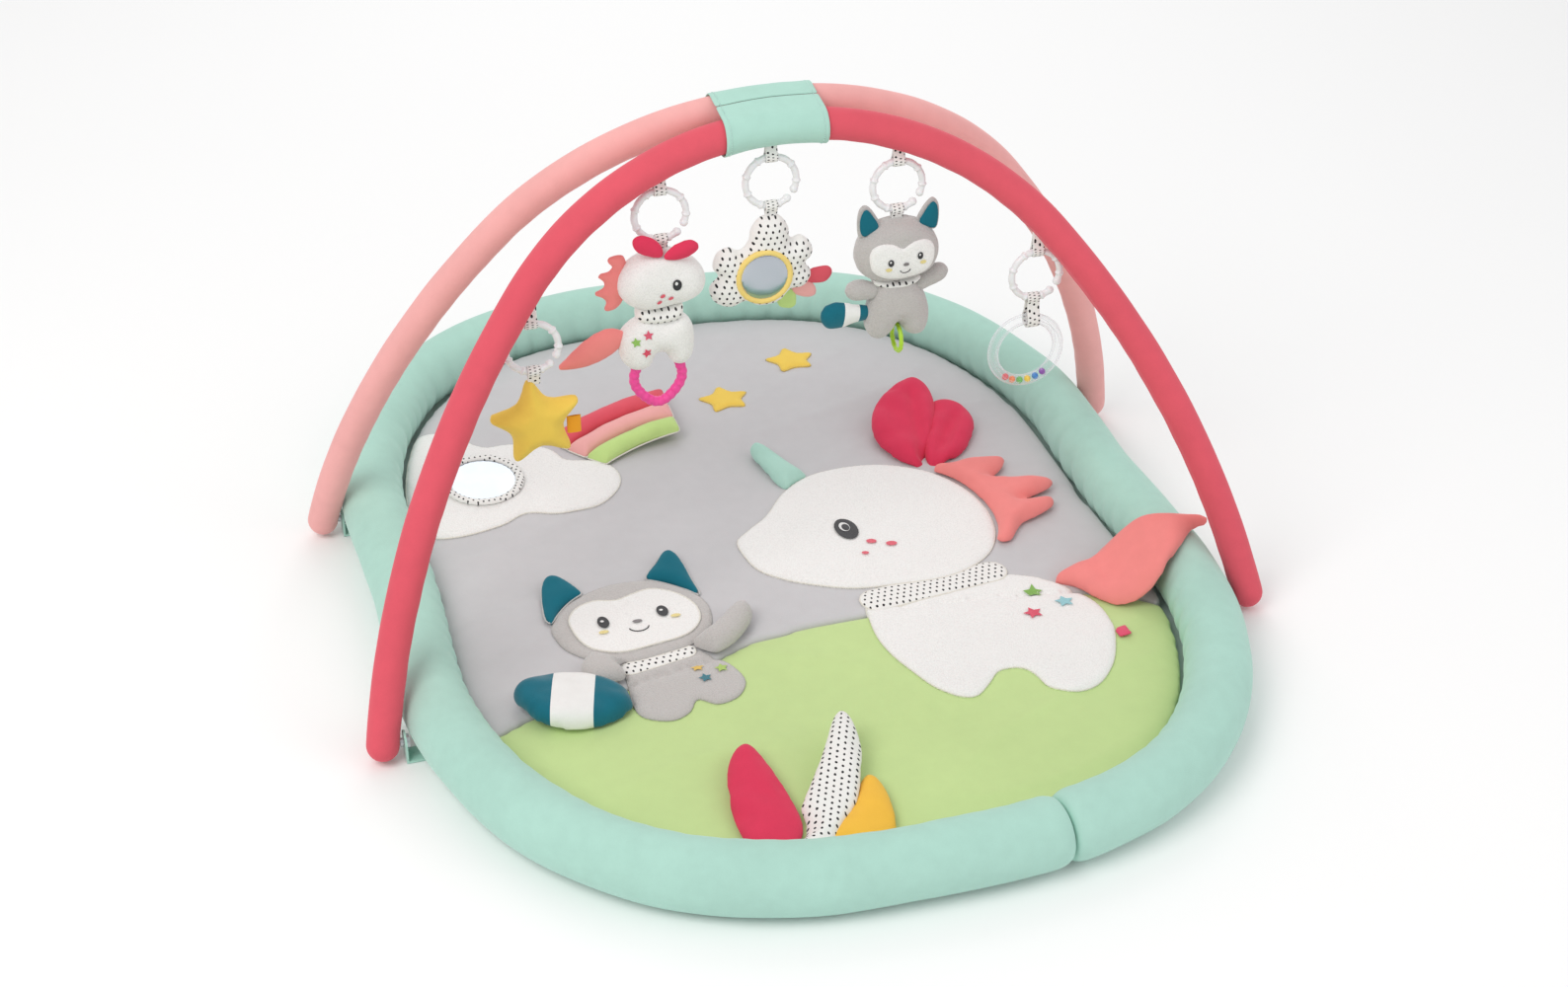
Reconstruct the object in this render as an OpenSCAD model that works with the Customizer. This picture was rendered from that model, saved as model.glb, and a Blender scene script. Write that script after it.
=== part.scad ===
// Activity play gym: a padded mat with a stuffed rim, two padded arches that
// fold out from the mat's sides, and five hanging toys.
// Origin: on the floor under the middle of the mat. +X is the mat's width,
// +Y points to the back, +Z is up. Millimetres.

/* [Mat] */
// Width of the mat over its rim
mat_w = 860; // [700:5:1000]
// Length of the mat over its rim
mat_l = 1130; // [900:5:1300]
// Roundness of the mat's corners: 2 is an ellipse, more is squarer
mat_power = 2.7; // [2.2:0.1:3.5]
// How far each side of the mat is drawn in at its waist
mat_waist = 16; // [0:1:30]
// Diameter of the stuffed rim
rim_d = 66; // [50:1:80]
// Thickness of the rim's fabric
rim_skin = 1.5; // [1:0.1:3]
// Thickness of the mat's bottom cover
backing_t = 2; // [1:0.5:4]
// Thickness of the wadding
wadding_t = 17; // [8:1:25]
// Thickness of the top fabric panels
panel_t = 3; // [1:0.5:5]
// Thickness of the sewn-on patches
patch_t = 4; // [2:0.5:8]
// Thickness of the loose padded flaps
flap_t = 9; // [5:1:16]

/* [Arches] */
// Height of an arch in its own plane, from its hinge to its top
arch_h = 522; // [420:2:600]
// Radius of the top of an arch
arch_top_r = 330; // [280:2:380]
// Half angle of that top arc
arch_top_angle = 52; // [40:1:60]
// How far the feet are tucked in beside the mat's waist
foot_tuck = 13.15; // [8:0.05:16]
// Diameter of the padded tube
tube_d = 32; // [26:1:36]
// Diameter of the springy rod
rod_d = 8; // [6:0.5:12]
// Thickness of the tube's fabric cover
tube_skin = 1.5; // [1:0.1:3]
// Height of the arch hinges above the floor
hinge_z = 18; // [17:1:30]
// Place of the front hinges along the mat
front_foot_y = -218; // [-300:1:-150]
// Place of the rear hinges along the mat
rear_foot_y = 186; // [120:1:260]
// Place along the mat where the two arches meet
apex_y = -7; // [-40:1:30]
// Room between the two tubes at the top
arch_gap = 7; // [6.6:0.1:12]

/* [Sleeve] */
// Length of the sleeve that holds the arches together
sleeve_len = 100; // [60:1:140]
// Place of the sleeve's middle across the mat
sleeve_x = -6; // [-40:1:40]
// Thickness of the sleeve
sleeve_t = 2.4; // [1.5:0.1:2.6]
// Thickness of each hook and loop strip
strip_t = 0.5; // [0.3:0.1:0.6]

/* [Hanging links] */
// Mean radius of a link
link_r = 25; // [18:0.5:30]
// Diameter of a link's rod
link_rod_d = 6.5; // [5:0.5:8]
// Angle that a link's gap takes up
link_gap_angle = 26; // [15:1:40]
// Width of the ribbon loops
ribbon_w = 12; // [8:1:16]
// Thickness of the ribbon
ribbon_t = 1.2; // [0.8:0.1:2]

/* [Toys] */
// Place of each toy across the mat
toy_x = [-252, -118, -8, 116, 250];
// Drop from the tube's middle to each link's top
toy_drop = [39, 26, 30, 27, 38];
// Thickness of the soft toys
toy_t = 30; // [20:1:40]
// Outer radius of the soft star
star_r = 46; // [36:1:56]
// Radius of the cloud's mirror
mirror_r = 23; // [18:1:28]
// Mean radius of the rattle ring
rattle_r = 34.5; // [28:0.5:42]
// Outer radius of the rattle ring's tube
rattle_tube_r = 5.5; // [4.5:0.5:7]
// Radius of a bead
bead_r = 3.8; // [3:0.1:4]

/* [Hidden] */
$fn = 64;
clearance = 0.4;
rim_r = rim_d / 2;
tube_r = tube_d / 2;
pad_top = backing_t + wadding_t + panel_t;
patch_top = pad_top + patch_t;
trim_t = 2;
outline_steps = 72;
even_shift = 6;
waist_reach = 150;
pad_gap = 1.5;
filling_gap = 0.3;
// Half width of the rim where the bottom cover's upper face meets it
backing_reach = sqrt(rim_r * rim_r - (rim_r - backing_t) * (rim_r - backing_t)) + 0.5;
big = 2000;

// Arch shape: the middle of the flatter leg arc, and where it meets the hinge line
foot_rim_share = 0.22;
leg_start_x = arch_top_r * sin(arch_top_angle);
leg_start_h = arch_h - arch_top_r * (1 - cos(arch_top_angle));
// The leg's radius takes it from the top arc to a foot that clears the rim
foot_x = mat_w / 2 + tube_r + rim_r * foot_rim_share - foot_tuck;
leg_run = foot_x - leg_start_x;
arch_leg_r = (leg_run * leg_run + leg_start_h * leg_start_h)
    / (2 * (leg_start_h * cos(arch_top_angle) - leg_run * sin(arch_top_angle)));
leg_mid_x = leg_start_x - arch_leg_r * sin(arch_top_angle);
leg_mid_h = leg_start_h - arch_leg_r * cos(arch_top_angle);
foot_angle = acos(-leg_mid_h / arch_leg_r);
front_apex_y = apex_y - tube_r - arch_gap / 2;
rear_apex_y = apex_y + tube_r + arch_gap / 2;
front_lean = asin((front_apex_y - front_foot_y) / arch_h);
rear_lean = asin((rear_apex_y - rear_foot_y) / arch_h);

// Press studs that the arches turn on
stud_r = 3;
stud_fit = 0.05;
stud_base_r = 4.5;
stud_base_t = 2.4;
socket_r = 7;
socket_t = 3;
tab_t = 2;
tab_w = 22;
tab_gap = 1;

// Links and their loops
link_rod_r = link_rod_d / 2;
loop_play = 1.6;
loop_bore_r = link_rod_r + loop_play;
loop_r = loop_bore_r + ribbon_t;
link_gap_middle = -38;
link_ball_r = link_rod_r + 1;

// Rattle and pull ring
rattle_bore_r = 4.3;
bead_count = 6;
rattle_drop = 58;
rattle_shift = -6;
strap_play = 3.2;
strap_x = rattle_shift / 3;
pull_ring_r = 14;
pull_ring_rod_r = 2.4;

// ---------- outlines ----------

function sgn_pow(v, e) = sign(v) * pow(abs(v), e);

// Half width of the mat's outline where the waist draws it in
function waist_at(y) = mat_waist * exp(-pow(y / waist_reach, 2));

// A point of the mat's outline, moved in by inset, at angle a
function mat_point(a, inset) =
    let (y = (mat_l / 2 - inset) * sgn_pow(sin(a), 2 / mat_power))
    let (x = (mat_w / 2 - inset - waist_at(y)) * sgn_pow(cos(a), 2 / mat_power))
    [x, y];

// An angle moved so that equal steps lie evenly enough along the outline
function evened(a) = a - even_shift * sin(4 * a);

function mat_outline(inset, n = outline_steps) =
    [for (i = [0:n - 1]) mat_point(evened(360 * i / n), inset)];

// Smooth closed curve through the points of an outline
function catmull(a, b, c, d, t) =
    0.5 * (2 * b + (c - a) * t + (2 * a - 5 * b + 4 * c - d) * t * t
    + (3 * b - a - 3 * c + d) * t * t * t);

function smooth_closed(p, k = 4) =
    [for (i = [0:len(p) - 1], j = [0:k - 1])
        catmull(p[(i + len(p) - 1) % len(p)], p[i], p[(i + 1) % len(p)],
            p[(i + 2) % len(p)], j / k)];

// A star with n points
function star_points(n, r_out, r_in, turn = 90) =
    [for (i = [0:2 * n - 1])
        let (r = i % 2 == 0 ? r_out : r_in)
        r * [cos(turn + 180 * i / n), sin(turn + 180 * i / n)]];

cloud_outline = [[-346, 292], [-330, 314], [-305, 320], [-278, 306], [-253, 271], [-228, 270], [-202, 264],
    [-178, 240], [-168, 220], [-136, 208], [-120, 182], [-126, 148], [-156, 118], [-196, 114], [-232, 126],
    [-262, 111], [-304, 102], [-338, 110], [-352, 150], [-354, 222]];
unicorn_head_outline = [[-36, 2], [-18, 22], [8, 44], [38, 82], [70, 106], [114, 117], [158, 112], [194, 92],
    [220, 62], [235, 22], [237, -22], [226, -64], [202, -94], [160, -112], [110, -112], [60, -106],
    [22, -90], [-10, -68], [-30, -42]];
unicorn_body_outline = [[66, -122], [56, -152], [52, -192], [56, -230], [68, -268], [84, -300], [108, -314],
    [130, -298], [146, -282], [166, -284], [177, -298], [182, -320], [202, -335], [228, -330],
    [252, -308], [270, -276], [282, -240], [282, -200], [264, -162], [232, -137], [192, -121], [130, -125]];
horn_outline = [[44, 90], [30, 136], [26, 166], [34, 177], [46, 166], [60, 136], [74, 100]];
front_petal_outline = [[190, 92], [170, 122], [163, 162], [176, 200], [206, 232], [242, 248], [258, 226],
    [254, 190], [238, 150], [214, 112]];
back_petal_outline = [[196, 90], [216, 96], [244, 100], [270, 126], [288, 162], [286, 196], [268, 212],
    [244, 204], [220, 160]];
mane_outline = [[206, 74], [232, 86], [262, 88], [288, 80], [280, 62], [266, 46], [296, 36], [324, 22],
    [318, 8], [292, -4], [276, -10], [310, -16], [302, -34], [262, -52], [222, -74]];
unicorn_tail_outline = [[256, -152], [276, -140], [308, -128], [342, -128], [372, -138], [396, -146],
    [414, -150], [422, -155], [416, -160], [396, -170], [366, -200], [334, -222], [302, -214],
    [276, -186]];
raccoon_head_outline = [[-254, -98], [-246, -76], [-226, -52], [-198, -38], [-168, -33], [-138, -39], [-114, -56],
    [-98, -78], [-94, -104], [-102, -134], [-124, -152], [-156, -160], [-192, -163], [-224, -152],
    [-246, -128]];
raccoon_face_outline = [[-236, -96], [-226, -70], [-204, -60], [-182, -67], [-164, -61], [-142, -57],
    [-120, -70], [-107, -94], [-108, -120], [-126, -140], [-162, -148], [-200, -150], [-226, -134]];
left_ear_outline = [[-253, -84], [-253, -46], [-246, -18], [-236, -8], [-224, -16], [-210, -44], [-216, -70]];
right_ear_outline = [[-144, -40], [-128, -14], [-112, 3], [-102, -8], [-98, -44], [-98, -80], [-122, -70]];
left_arm_outline = [[-222, -150], [-240, -166], [-240, -186], [-222, -198], [-198, -192], [-190, -168]];
right_arm_outline = [[-128, -152], [-104, -142], [-80, -120], [-64, -114], [-57, -128], [-68, -150], [-96, -174],
    [-120, -176]];
raccoon_body_outline = [[-196, -170], [-202, -204], [-205, -232], [-200, -254], [-176, -266], [-156, -258],
    [-144, -240], [-128, -254], [-106, -248], [-93, -228], [-95, -206], [-108, -180], [-132, -158],
    [-160, -162]];
raccoon_tail_outline = [[-314, -204], [-302, -186], [-270, -180], [-234, -192], [-208, -214], [-206, -240],
    [-232, -258], [-268, -262], [-298, -246]];
coral_leaf_outline = [[-158, -446], [-162, -400], [-150, -360], [-132, -340], [-118, -346], [-106, -390],
    [-104, -430], [-118, -452], [-138, -455]];
dotted_leaf_outline = [[-132, -456], [-108, -420], [-72, -376], [-46, -344], [-32, -335], [-25, -348], [-28, -380],
    [-46, -420], [-72, -446], [-98, -464]];
yellow_leaf_outline = [[-88, -466], [-66, -440], [-42, -414], [-28, -406], [-20, -420], [-22, -452], [-34, -476],
    [-64, -478]];
hill_line = [[-420, -262], [-357, -247], [-300, -218], [-204, -200], [-120, -183], [-68, -160], [0, -150],
    [80, -148], [180, -158], [304, -178], [364, -228], [420, -262]];

module flat(points, z, t) {
    translate([0, 0, z]) linear_extrude(t) polygon(points);
}

// ---------- sweeps ----------

// A round tube along the mat's outline, between two angles
function rim_rings(r, from, to, n) =
    [for (i = [0:n])
        let (e = evened(from + (to - from) * i / n))
        let (p = mat_point(e, rim_r))
        let (d = mat_point(e + 0.5, rim_r) - mat_point(e - 0.5, rim_r))
        let (out = [d[1], -d[0]] / norm(d))
        [for (k = [0:11])
            [p[0] + out[0] * r * cos(30 * k), p[1] + out[1] * r * cos(30 * k), rim_r + r * sin(30 * k)]]];

// Solid between two rows of rings, or a plain tube when there is one row
function ring_faces(start, count, last) =
    [for (i = [0:last], k = [0:11])
        let (j = (i + 1) % count)
        [start + 12 * i + k, start + 12 * i + (k + 1) % 12, start + 12 * j + (k + 1) % 12, start + 12 * j + k]];

function reversed(face) = [for (i = [len(face) - 1:-1:0]) face[i]];

// A closed tube whose rings stand where those of the two halves of the rim do
module rim_core(r, from, to, n) {
    rings = concat(rim_rings(r, from, to, n), rim_rings(r, to - 360, from, n));
    kept = [for (i = [0:2 * n + 1]) if (i != n && i != 2 * n + 1) rings[i]];
    polyhedron(points = [for (ring = kept) each ring], faces = ring_faces(0, 2 * n, 2 * n - 1), convexity = 6);
}

module rim_shell(r, wall, from, to, n) {
    outer = rim_rings(r, from, to, n);
    inner = rim_rings(r - wall, from, to, n);
    start = 12 * (n + 1);
    near_end = [for (k = [0:11]) [k, start + k, start + (k + 1) % 12, (k + 1) % 12]];
    far_end = [for (k = [0:11]) [12 * n + k, 12 * n + (k + 1) % 12, start + 12 * n + (k + 1) % 12, start + 12 * n + k]];
    inside = [for (f = ring_faces(start, n + 1, n - 1)) reversed(f)];
    polyhedron(points = [for (ring = concat(outer, inner)) each ring],
        faces = concat(ring_faces(0, n + 1, n - 1), inside, near_end, far_end), convexity = 6);
}

// ---------- mat ----------

module mat_backing() {
    color("honeydew") flat(mat_outline(rim_r + backing_reach), 0, backing_t);
}

module pad_outline_2d() {
    polygon(mat_outline(rim_d - pad_gap));
}

module mat_wadding() {
    color("white") translate([0, 0, backing_t]) linear_extrude(wadding_t) pad_outline_2d();
}

module hill_2d() {
    polygon(concat(hill_line, [[420, -700], [-420, -700]]));
}

module sky_panel() {
    color("lightgrey") translate([0, 0, backing_t + wadding_t]) linear_extrude(panel_t)
        difference() {
            pad_outline_2d();
            hill_2d();
        }
}

module hill_panel() {
    color("yellowgreen") translate([0, 0, backing_t + wadding_t]) linear_extrude(panel_t)
        intersection() {
            pad_outline_2d();
            hill_2d();
        }
}

// The seams of the rim's cover lie a little right of the middle, front and back
rim_front_seam = -80;
rim_back_seam = 90;

rim_steps = 26;

module rim_left() {
    color("mediumaquamarine") rim_shell(rim_r, rim_skin, rim_back_seam, rim_front_seam + 360, rim_steps);
}

module rim_right() {
    color("mediumaquamarine") rim_shell(rim_r, rim_skin, rim_front_seam, rim_back_seam, rim_steps);
}

module rim_filling() {
    color("white") rim_core(rim_r - rim_skin - filling_gap, rim_back_seam, rim_front_seam + 360, rim_steps);
}

// ---------- patches ----------

mat_mirror_at = [-266, 196];
mat_mirror_size = [38, 44];
binding_w = 8;

module mat_mirror_2d(grow) {
    polygon([for (i = [0:47])
        mat_mirror_at + [(mat_mirror_size[0] + grow) * cos(7.5 * i), (mat_mirror_size[1] + grow) * sin(7.5 * i)]]);
}

module cloud_patch() {
    color("white") translate([0, 0, pad_top]) linear_extrude(patch_t) difference() {
        intersection() {
            polygon(smooth_closed(cloud_outline));
            polygon(mat_outline(rim_d + clearance));
        }
        mat_mirror_2d(0);
    }
}

module mat_mirror() {
    color("silver") translate([0, 0, pad_top]) linear_extrude(patch_t) mat_mirror_2d(0);
}

module mirror_binding() {
    color("whitesmoke") translate([0, 0, patch_top]) linear_extrude(trim_t) difference() {
        mat_mirror_2d(binding_w);
        mat_mirror_2d(-trim_t);
    }
}

// Three padded strips side by side, bent like a rainbow
rainbow_middle = [-40, 70];
rainbow_outer_r = 240;
rainbow_strip_w = 29;
rainbow_from = 89;
rainbow_to = 126;

module rainbow_flap() {
    color("lightcoral") for (i = [0:2])
        translate([rainbow_middle[0], rainbow_middle[1], patch_top + clearance])
            rotate([0, 0, rainbow_from])
                rotate_extrude(angle = rainbow_to - rainbow_from)
                    translate([rainbow_outer_r - (i + 1) * rainbow_strip_w, 0])
                        square([rainbow_strip_w - clearance, flap_t]);
}

star_patch_at = [[35, 300], [135, 368]];
star_patch_r = 30;
star_patch_waist = 0.62;

module star_patches() {
    color("gold") for (p = star_patch_at)
        translate([p[0], p[1], pad_top])
            linear_extrude(patch_t) polygon(smooth_closed(star_points(5, star_patch_r, star_patch_r * star_patch_waist)));
}

neck_band_w = 34;
neck_band_from = [72, -130];
neck_band_to = [200, -118];

module unicorn_neck_2d() {
    difference() {
        hull() {
            translate(neck_band_from) circle(neck_band_w / 2);
            translate(neck_band_to) circle(neck_band_w / 2);
        }
        polygon(smooth_closed(unicorn_head_outline));
    }
}

module unicorn_head() {
    color("white") flat(smooth_closed(unicorn_head_outline), pad_top, patch_t);
}

module unicorn_neck_band() {
    color("whitesmoke") translate([0, 0, pad_top]) linear_extrude(patch_t) unicorn_neck_2d();
}

module unicorn_body() {
    color("white") translate([0, 0, pad_top]) linear_extrude(patch_t) difference() {
        polygon(smooth_closed(unicorn_body_outline));
        unicorn_neck_2d();
        polygon(smooth_closed(unicorn_head_outline));
    }
}

// A padded flap that stops where it is tucked under other patches
module cut_flap(points, covers) {
    translate([0, 0, pad_top]) linear_extrude(flap_t) difference() {
        polygon(smooth_closed(points));
        for (cover = covers) polygon(smooth_closed(cover));
    }
}

module unicorn_horn() {
    color("aquamarine") cut_flap(horn_outline, [unicorn_head_outline]);
}

module forelock_petals() {
    color("crimson") {
        cut_flap(front_petal_outline, [unicorn_head_outline]);
        cut_flap(back_petal_outline, [unicorn_head_outline, front_petal_outline]);
    }
}

module unicorn_mane() {
    color("lightsalmon") cut_flap(mane_outline, [unicorn_head_outline, back_petal_outline, front_petal_outline]);
}

// The tail is a long padded leaf that rises from the mat and lies over the rim
tail_rise_to = mat_w / 2 - rim_d + 8;
tail_rise_from = tail_rise_to - 76;

module unicorn_tail() {
    rim_top = rim_d + 2;
    color("lightsalmon") intersection() {
        linear_extrude(big) difference() {
            polygon(smooth_closed(unicorn_tail_outline));
            polygon(smooth_closed(unicorn_body_outline));
        }
        rotate([90, 0, 0]) linear_extrude(big)
            polygon([[0, pad_top], [tail_rise_from, pad_top], [tail_rise_to, rim_top], [mat_w, rim_top],
                [mat_w, rim_top + flap_t], [tail_rise_to - flap_t / 2, rim_top + flap_t],
                [tail_rise_from - flap_t / 2, pad_top + flap_t], [0, pad_top + flap_t]]);
    }
}

module raccoon_head_2d() {
    polygon(smooth_closed(raccoon_head_outline));
}

module raccoon_head() {
    color("darkgrey") translate([0, 0, pad_top]) linear_extrude(patch_t) difference() {
        raccoon_head_2d();
        polygon(smooth_closed(raccoon_face_outline));
    }
}

module raccoon_face() {
    color("white") flat(smooth_closed(raccoon_face_outline), pad_top, patch_t);
}

module raccoon_ears() {
    color("teal") for (ear = [left_ear_outline, right_ear_outline])
        translate([0, 0, pad_top]) linear_extrude(flap_t) difference() {
            polygon(smooth_closed(ear));
            raccoon_head_2d();
        }
}

module raccoon_body_2d() {
    difference() {
        polygon(smooth_closed(raccoon_body_outline));
        raccoon_head_2d();
        raccoon_band_2d();
    }
}

band_from = [-194, -174];
band_to = [-134, -162];
band_w = 20;

module raccoon_band_2d() {
    difference() {
        hull() {
            translate(band_from) circle(band_w / 2);
            translate(band_to) circle(band_w / 2);
        }
        raccoon_head_2d();
    }
}

module raccoon_body() {
    color("darkgrey") translate([0, 0, pad_top]) linear_extrude(patch_t) raccoon_body_2d();
}

module raccoon_neck_band() {
    color("whitesmoke") translate([0, 0, pad_top]) linear_extrude(patch_t) raccoon_band_2d();
}

module raccoon_arms() {
    color("darkgrey") for (arm = [left_arm_outline, right_arm_outline])
        translate([0, 0, pad_top]) linear_extrude(flap_t) difference() {
            polygon(smooth_closed(arm));
            raccoon_head_2d();
            polygon(smooth_closed(raccoon_body_outline));
            raccoon_band_2d();
        }
}

module raccoon_tail() {
    color("teal") cut_flap(raccoon_tail_outline, [raccoon_body_outline, left_arm_outline]);
}

// Padded leaves sewn into the seam between the hill and the rim
module grass_leaf(points, covers) {
    translate([0, 0, pad_top]) linear_extrude(flap_t) intersection() {
        difference() {
            polygon(smooth_closed(points));
            for (cover = covers) polygon(smooth_closed(cover));
        }
        polygon(mat_outline(rim_d + clearance));
    }
}

module leaf_coral() {
    color("crimson") grass_leaf(coral_leaf_outline, []);
}

module leaf_dotted() {
    color("whitesmoke") grass_leaf(dotted_leaf_outline, [coral_leaf_outline]);
}

module leaf_yellow() {
    color("gold") grass_leaf(yellow_leaf_outline, [dotted_leaf_outline]);
}

side_tab_at = [286, -256];
side_tab_size = [12, 16, 2.5];

module side_tab() {
    color("hotpink") translate([0, 0, pad_top]) linear_extrude(side_tab_size[2]) difference() {
        translate(side_tab_at) square([side_tab_size[0], side_tab_size[1]], center = true);
        polygon(smooth_closed(unicorn_body_outline));
    }
}

// ---------- feet ----------

tab_end_x = foot_x - tube_r - stud_base_t - tab_gap;

// Half width of the mat at y
function mat_x_at(y) =
    (mat_w / 2 - waist_at(y)) * pow(1 - pow(abs(2 * y / mat_l), mat_power), 1 / mat_power);

// An L-shaped fabric tab from under the rim, with its upright end facing the foot
module foot_tab(foot_y) {
    rim_in = mat_x_at(foot_y) - rim_r + backing_reach;
    difference() {
        union() {
            translate([rim_in, foot_y - tab_w / 2, 0]) cube([tab_end_x - rim_in, tab_w, tab_t]);
            translate([tab_end_x - tab_t, foot_y - tab_w / 2, 0]) cube([tab_t, tab_w, hinge_z]);
            translate([tab_end_x - tab_t, foot_y, hinge_z]) rotate([0, 90, 0]) cylinder(h = tab_t, r = tab_w / 2);
        }
        stud_bore(foot_y);
    }
}

module stud_bore(foot_y) {
    translate([tab_end_x - socket_t - tab_t, foot_y, hinge_z]) rotate([0, 90, 0])
        cylinder(h = 3 * socket_t, r = stud_r + stud_fit);
}

module both_sides() {
    children();
    mirror([1, 0, 0]) children();
}

module foot_tabs() {
    color("mediumaquamarine") both_sides() {
        foot_tab(front_foot_y);
        foot_tab(rear_foot_y);
    }
}

module foot_sockets() {
    color("silver") both_sides() for (y = [front_foot_y, rear_foot_y])
        difference() {
            translate([tab_end_x - tab_t - socket_t, y, hinge_z]) rotate([0, 90, 0])
                cylinder(h = socket_t, r = socket_r);
            stud_bore(y);
        }
}

// ---------- arches ----------

module arch_pose(foot_y, lean) {
    translate([0, foot_y, hinge_z]) rotate([-lean, 0, 0]) children();
}

// A profile swept along the arch in its own plane: the top arc and two legs.
// A short ring inside the wall ties each leg to the top arc.
tie_l = 1;
tie_inset = 0.1;

module arch_sweep(r_out, r_in = 0) {
    translate([0, 0, arch_h - arch_top_r]) rotate([90, 0, 0])
        rotate([0, 0, 90 - arch_top_angle])
            rotate_extrude(angle = 2 * arch_top_angle, $fn = 120)
                translate([arch_top_r, 0]) arch_profile(r_out, r_in);
    both_sides() {
        translate([leg_mid_x, 0, leg_mid_h]) rotate([90, 0, 0])
            rotate([0, 0, 90 - foot_angle])
                rotate_extrude(angle = foot_angle - arch_top_angle, $fn = 120)
                    translate([arch_leg_r, 0]) arch_profile(r_out, r_in);
        translate([leg_start_x, 0, leg_start_h]) rotate([0, 90 + arch_top_angle, 0]) tie_ring(r_out, r_in);
    }
}

module arch_profile(r_out, r_in) {
    difference() {
        circle(r_out);
        if (r_in > 0) circle(r_in);
    }
}

module tie_ring(r_out, r_in) {
    translate([0, 0, -tie_l / 2]) linear_extrude(tie_l) difference() {
        circle(r_out - tie_inset);
        if (r_in > 0) circle(r_in + tie_inset);
    }
}

module arch_rod(foot_y, lean) {
    arch_pose(foot_y, lean) arch_sweep(rod_d / 2);
}

module arch_foam(foot_y, lean) {
    arch_pose(foot_y, lean) arch_sweep(tube_r - tube_skin, rod_d / 2);
}

// The cover's round ends turn about the hinge line
module foot_end() {
    end_r = tube_r - 2 * tie_inset;
    end_bore = tube_r - tube_skin + 2 * tie_inset;
    translate([foot_x, 0, 0]) rotate([0, 90 + foot_angle, 0]) {
        rotate_extrude() intersection() {
            arch_profile(end_r, end_bore);
            square(tube_r);
        }
        tie_ring(end_r, end_bore);
    }
}

module arch_cover(foot_y, lean) {
    arch_pose(foot_y, lean) {
        arch_sweep(tube_r, tube_r - tube_skin);
        both_sides() foot_end();
    }
}

// A press stud: a flat base set into the foot's cover and a round peg towards the mat
stud_seat = 0.3;

module arch_studs(foot_y) {
    both_sides() translate([foot_x - tube_r - stud_base_t, foot_y, hinge_z]) rotate([0, 90, 0]) {
        cylinder(h = stud_base_t + stud_seat, r = stud_base_r);
        translate([0, 0, -tab_gap - tab_t - socket_t]) cylinder(h = tab_gap + tab_t + socket_t, r = stud_r);
    }
}

module front_rod() {
    color("dimgrey") arch_rod(front_foot_y, front_lean);
}

module rear_rod() {
    color("dimgrey") arch_rod(rear_foot_y, rear_lean);
}

module front_foam() {
    color("ivory") arch_foam(front_foot_y, front_lean);
}

module rear_foam() {
    color("ivory") arch_foam(rear_foot_y, rear_lean);
}

module front_cover() {
    color("indianred") arch_cover(front_foot_y, front_lean);
}

module rear_cover() {
    color("lightpink") arch_cover(rear_foot_y, rear_lean);
}

module front_studs() {
    color("silver") arch_studs(front_foot_y);
}

module rear_studs() {
    color("silver") arch_studs(rear_foot_y);
}

// ---------- sleeve ----------

sleeve_angle = 180 * sleeve_len / (PI * arch_top_r);
sleeve_turn = asin(sleeve_x / arch_top_r);
sleeve_r = tube_r + sleeve_t;
sleeve_split = 2 * (strip_t + clearance / 2);
sleeve_reach = 1.4 * sleeve_r;

// One half of the sleeve, wrapped round one tube and squared off towards the other
module sleeve_wrap(foot_y, lean, side) {
    arch_pose(foot_y, lean)
        translate([0, 0, arch_h - arch_top_r]) rotate([90, 0, 0])
            rotate([0, 0, 90 - sleeve_turn - sleeve_angle / 2])
                rotate_extrude(angle = sleeve_angle, $fn = 120)
                    translate([arch_top_r, 0]) difference() {
                        union() {
                            circle(sleeve_r);
                            translate([-sleeve_r, side > 0 ? 0 : -sleeve_reach])
                                square([2 * sleeve_r, sleeve_reach]);
                        }
                        circle(tube_r);
                    }
}

module sleeve_front() {
    color("mediumaquamarine") difference() {
        sleeve_wrap(front_foot_y, front_lean, -1);
        translate([-big, apex_y - sleeve_split / 2, -big]) cube(2 * big);
    }
}

module sleeve_rear() {
    color("mediumaquamarine") difference() {
        sleeve_wrap(rear_foot_y, rear_lean, 1);
        translate([-big, apex_y + sleeve_split / 2 - 2 * big, -big]) cube(2 * big);
    }
}

strip_l = sleeve_len - 16;
strip_h = 20;
sleeve_z = hinge_z + arch_h * cos(front_lean);

module hook_strip() {
    color("whitesmoke") translate([sleeve_x - strip_l / 2, apex_y - sleeve_split / 2, sleeve_z - strip_h / 2])
        cube([strip_l, strip_t, strip_h]);
}

module loop_strip() {
    color("whitesmoke") translate([sleeve_x - strip_l / 2, apex_y + sleeve_split / 2 - strip_t, sleeve_z - strip_h / 2])
        cube([strip_l, strip_t, strip_h]);
}

// ---------- hanging links ----------

// Height in the arch's plane of the tube's middle at x
function arch_height_at(x) = arch_h - arch_top_r + sqrt(arch_top_r * arch_top_r - x * x);
function hang_y(x) = front_foot_y + arch_height_at(x) * sin(front_lean);
function hang_z(x) = hinge_z + arch_height_at(x) * cos(front_lean);
function link_top(i) = [toy_x[i], hang_y(toy_x[i]), hang_z(toy_x[i]) - toy_drop[i]];
function toy_pivot(i) = link_top(i) - [0, 0, 2 * link_r];

// A ribbon folded round a rod that lies along X, with a flat neck of length neck
module ribbon_loop(neck, up) {
    rotate([90, 0, 90]) translate([0, 0, -ribbon_w / 2]) linear_extrude(ribbon_w) difference() {
        union() {
            circle(loop_r);
            translate([-ribbon_t, up > 0 ? 0 : -neck]) square([2 * ribbon_t, neck]);
        }
        circle(loop_bore_r);
    }
}

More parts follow.
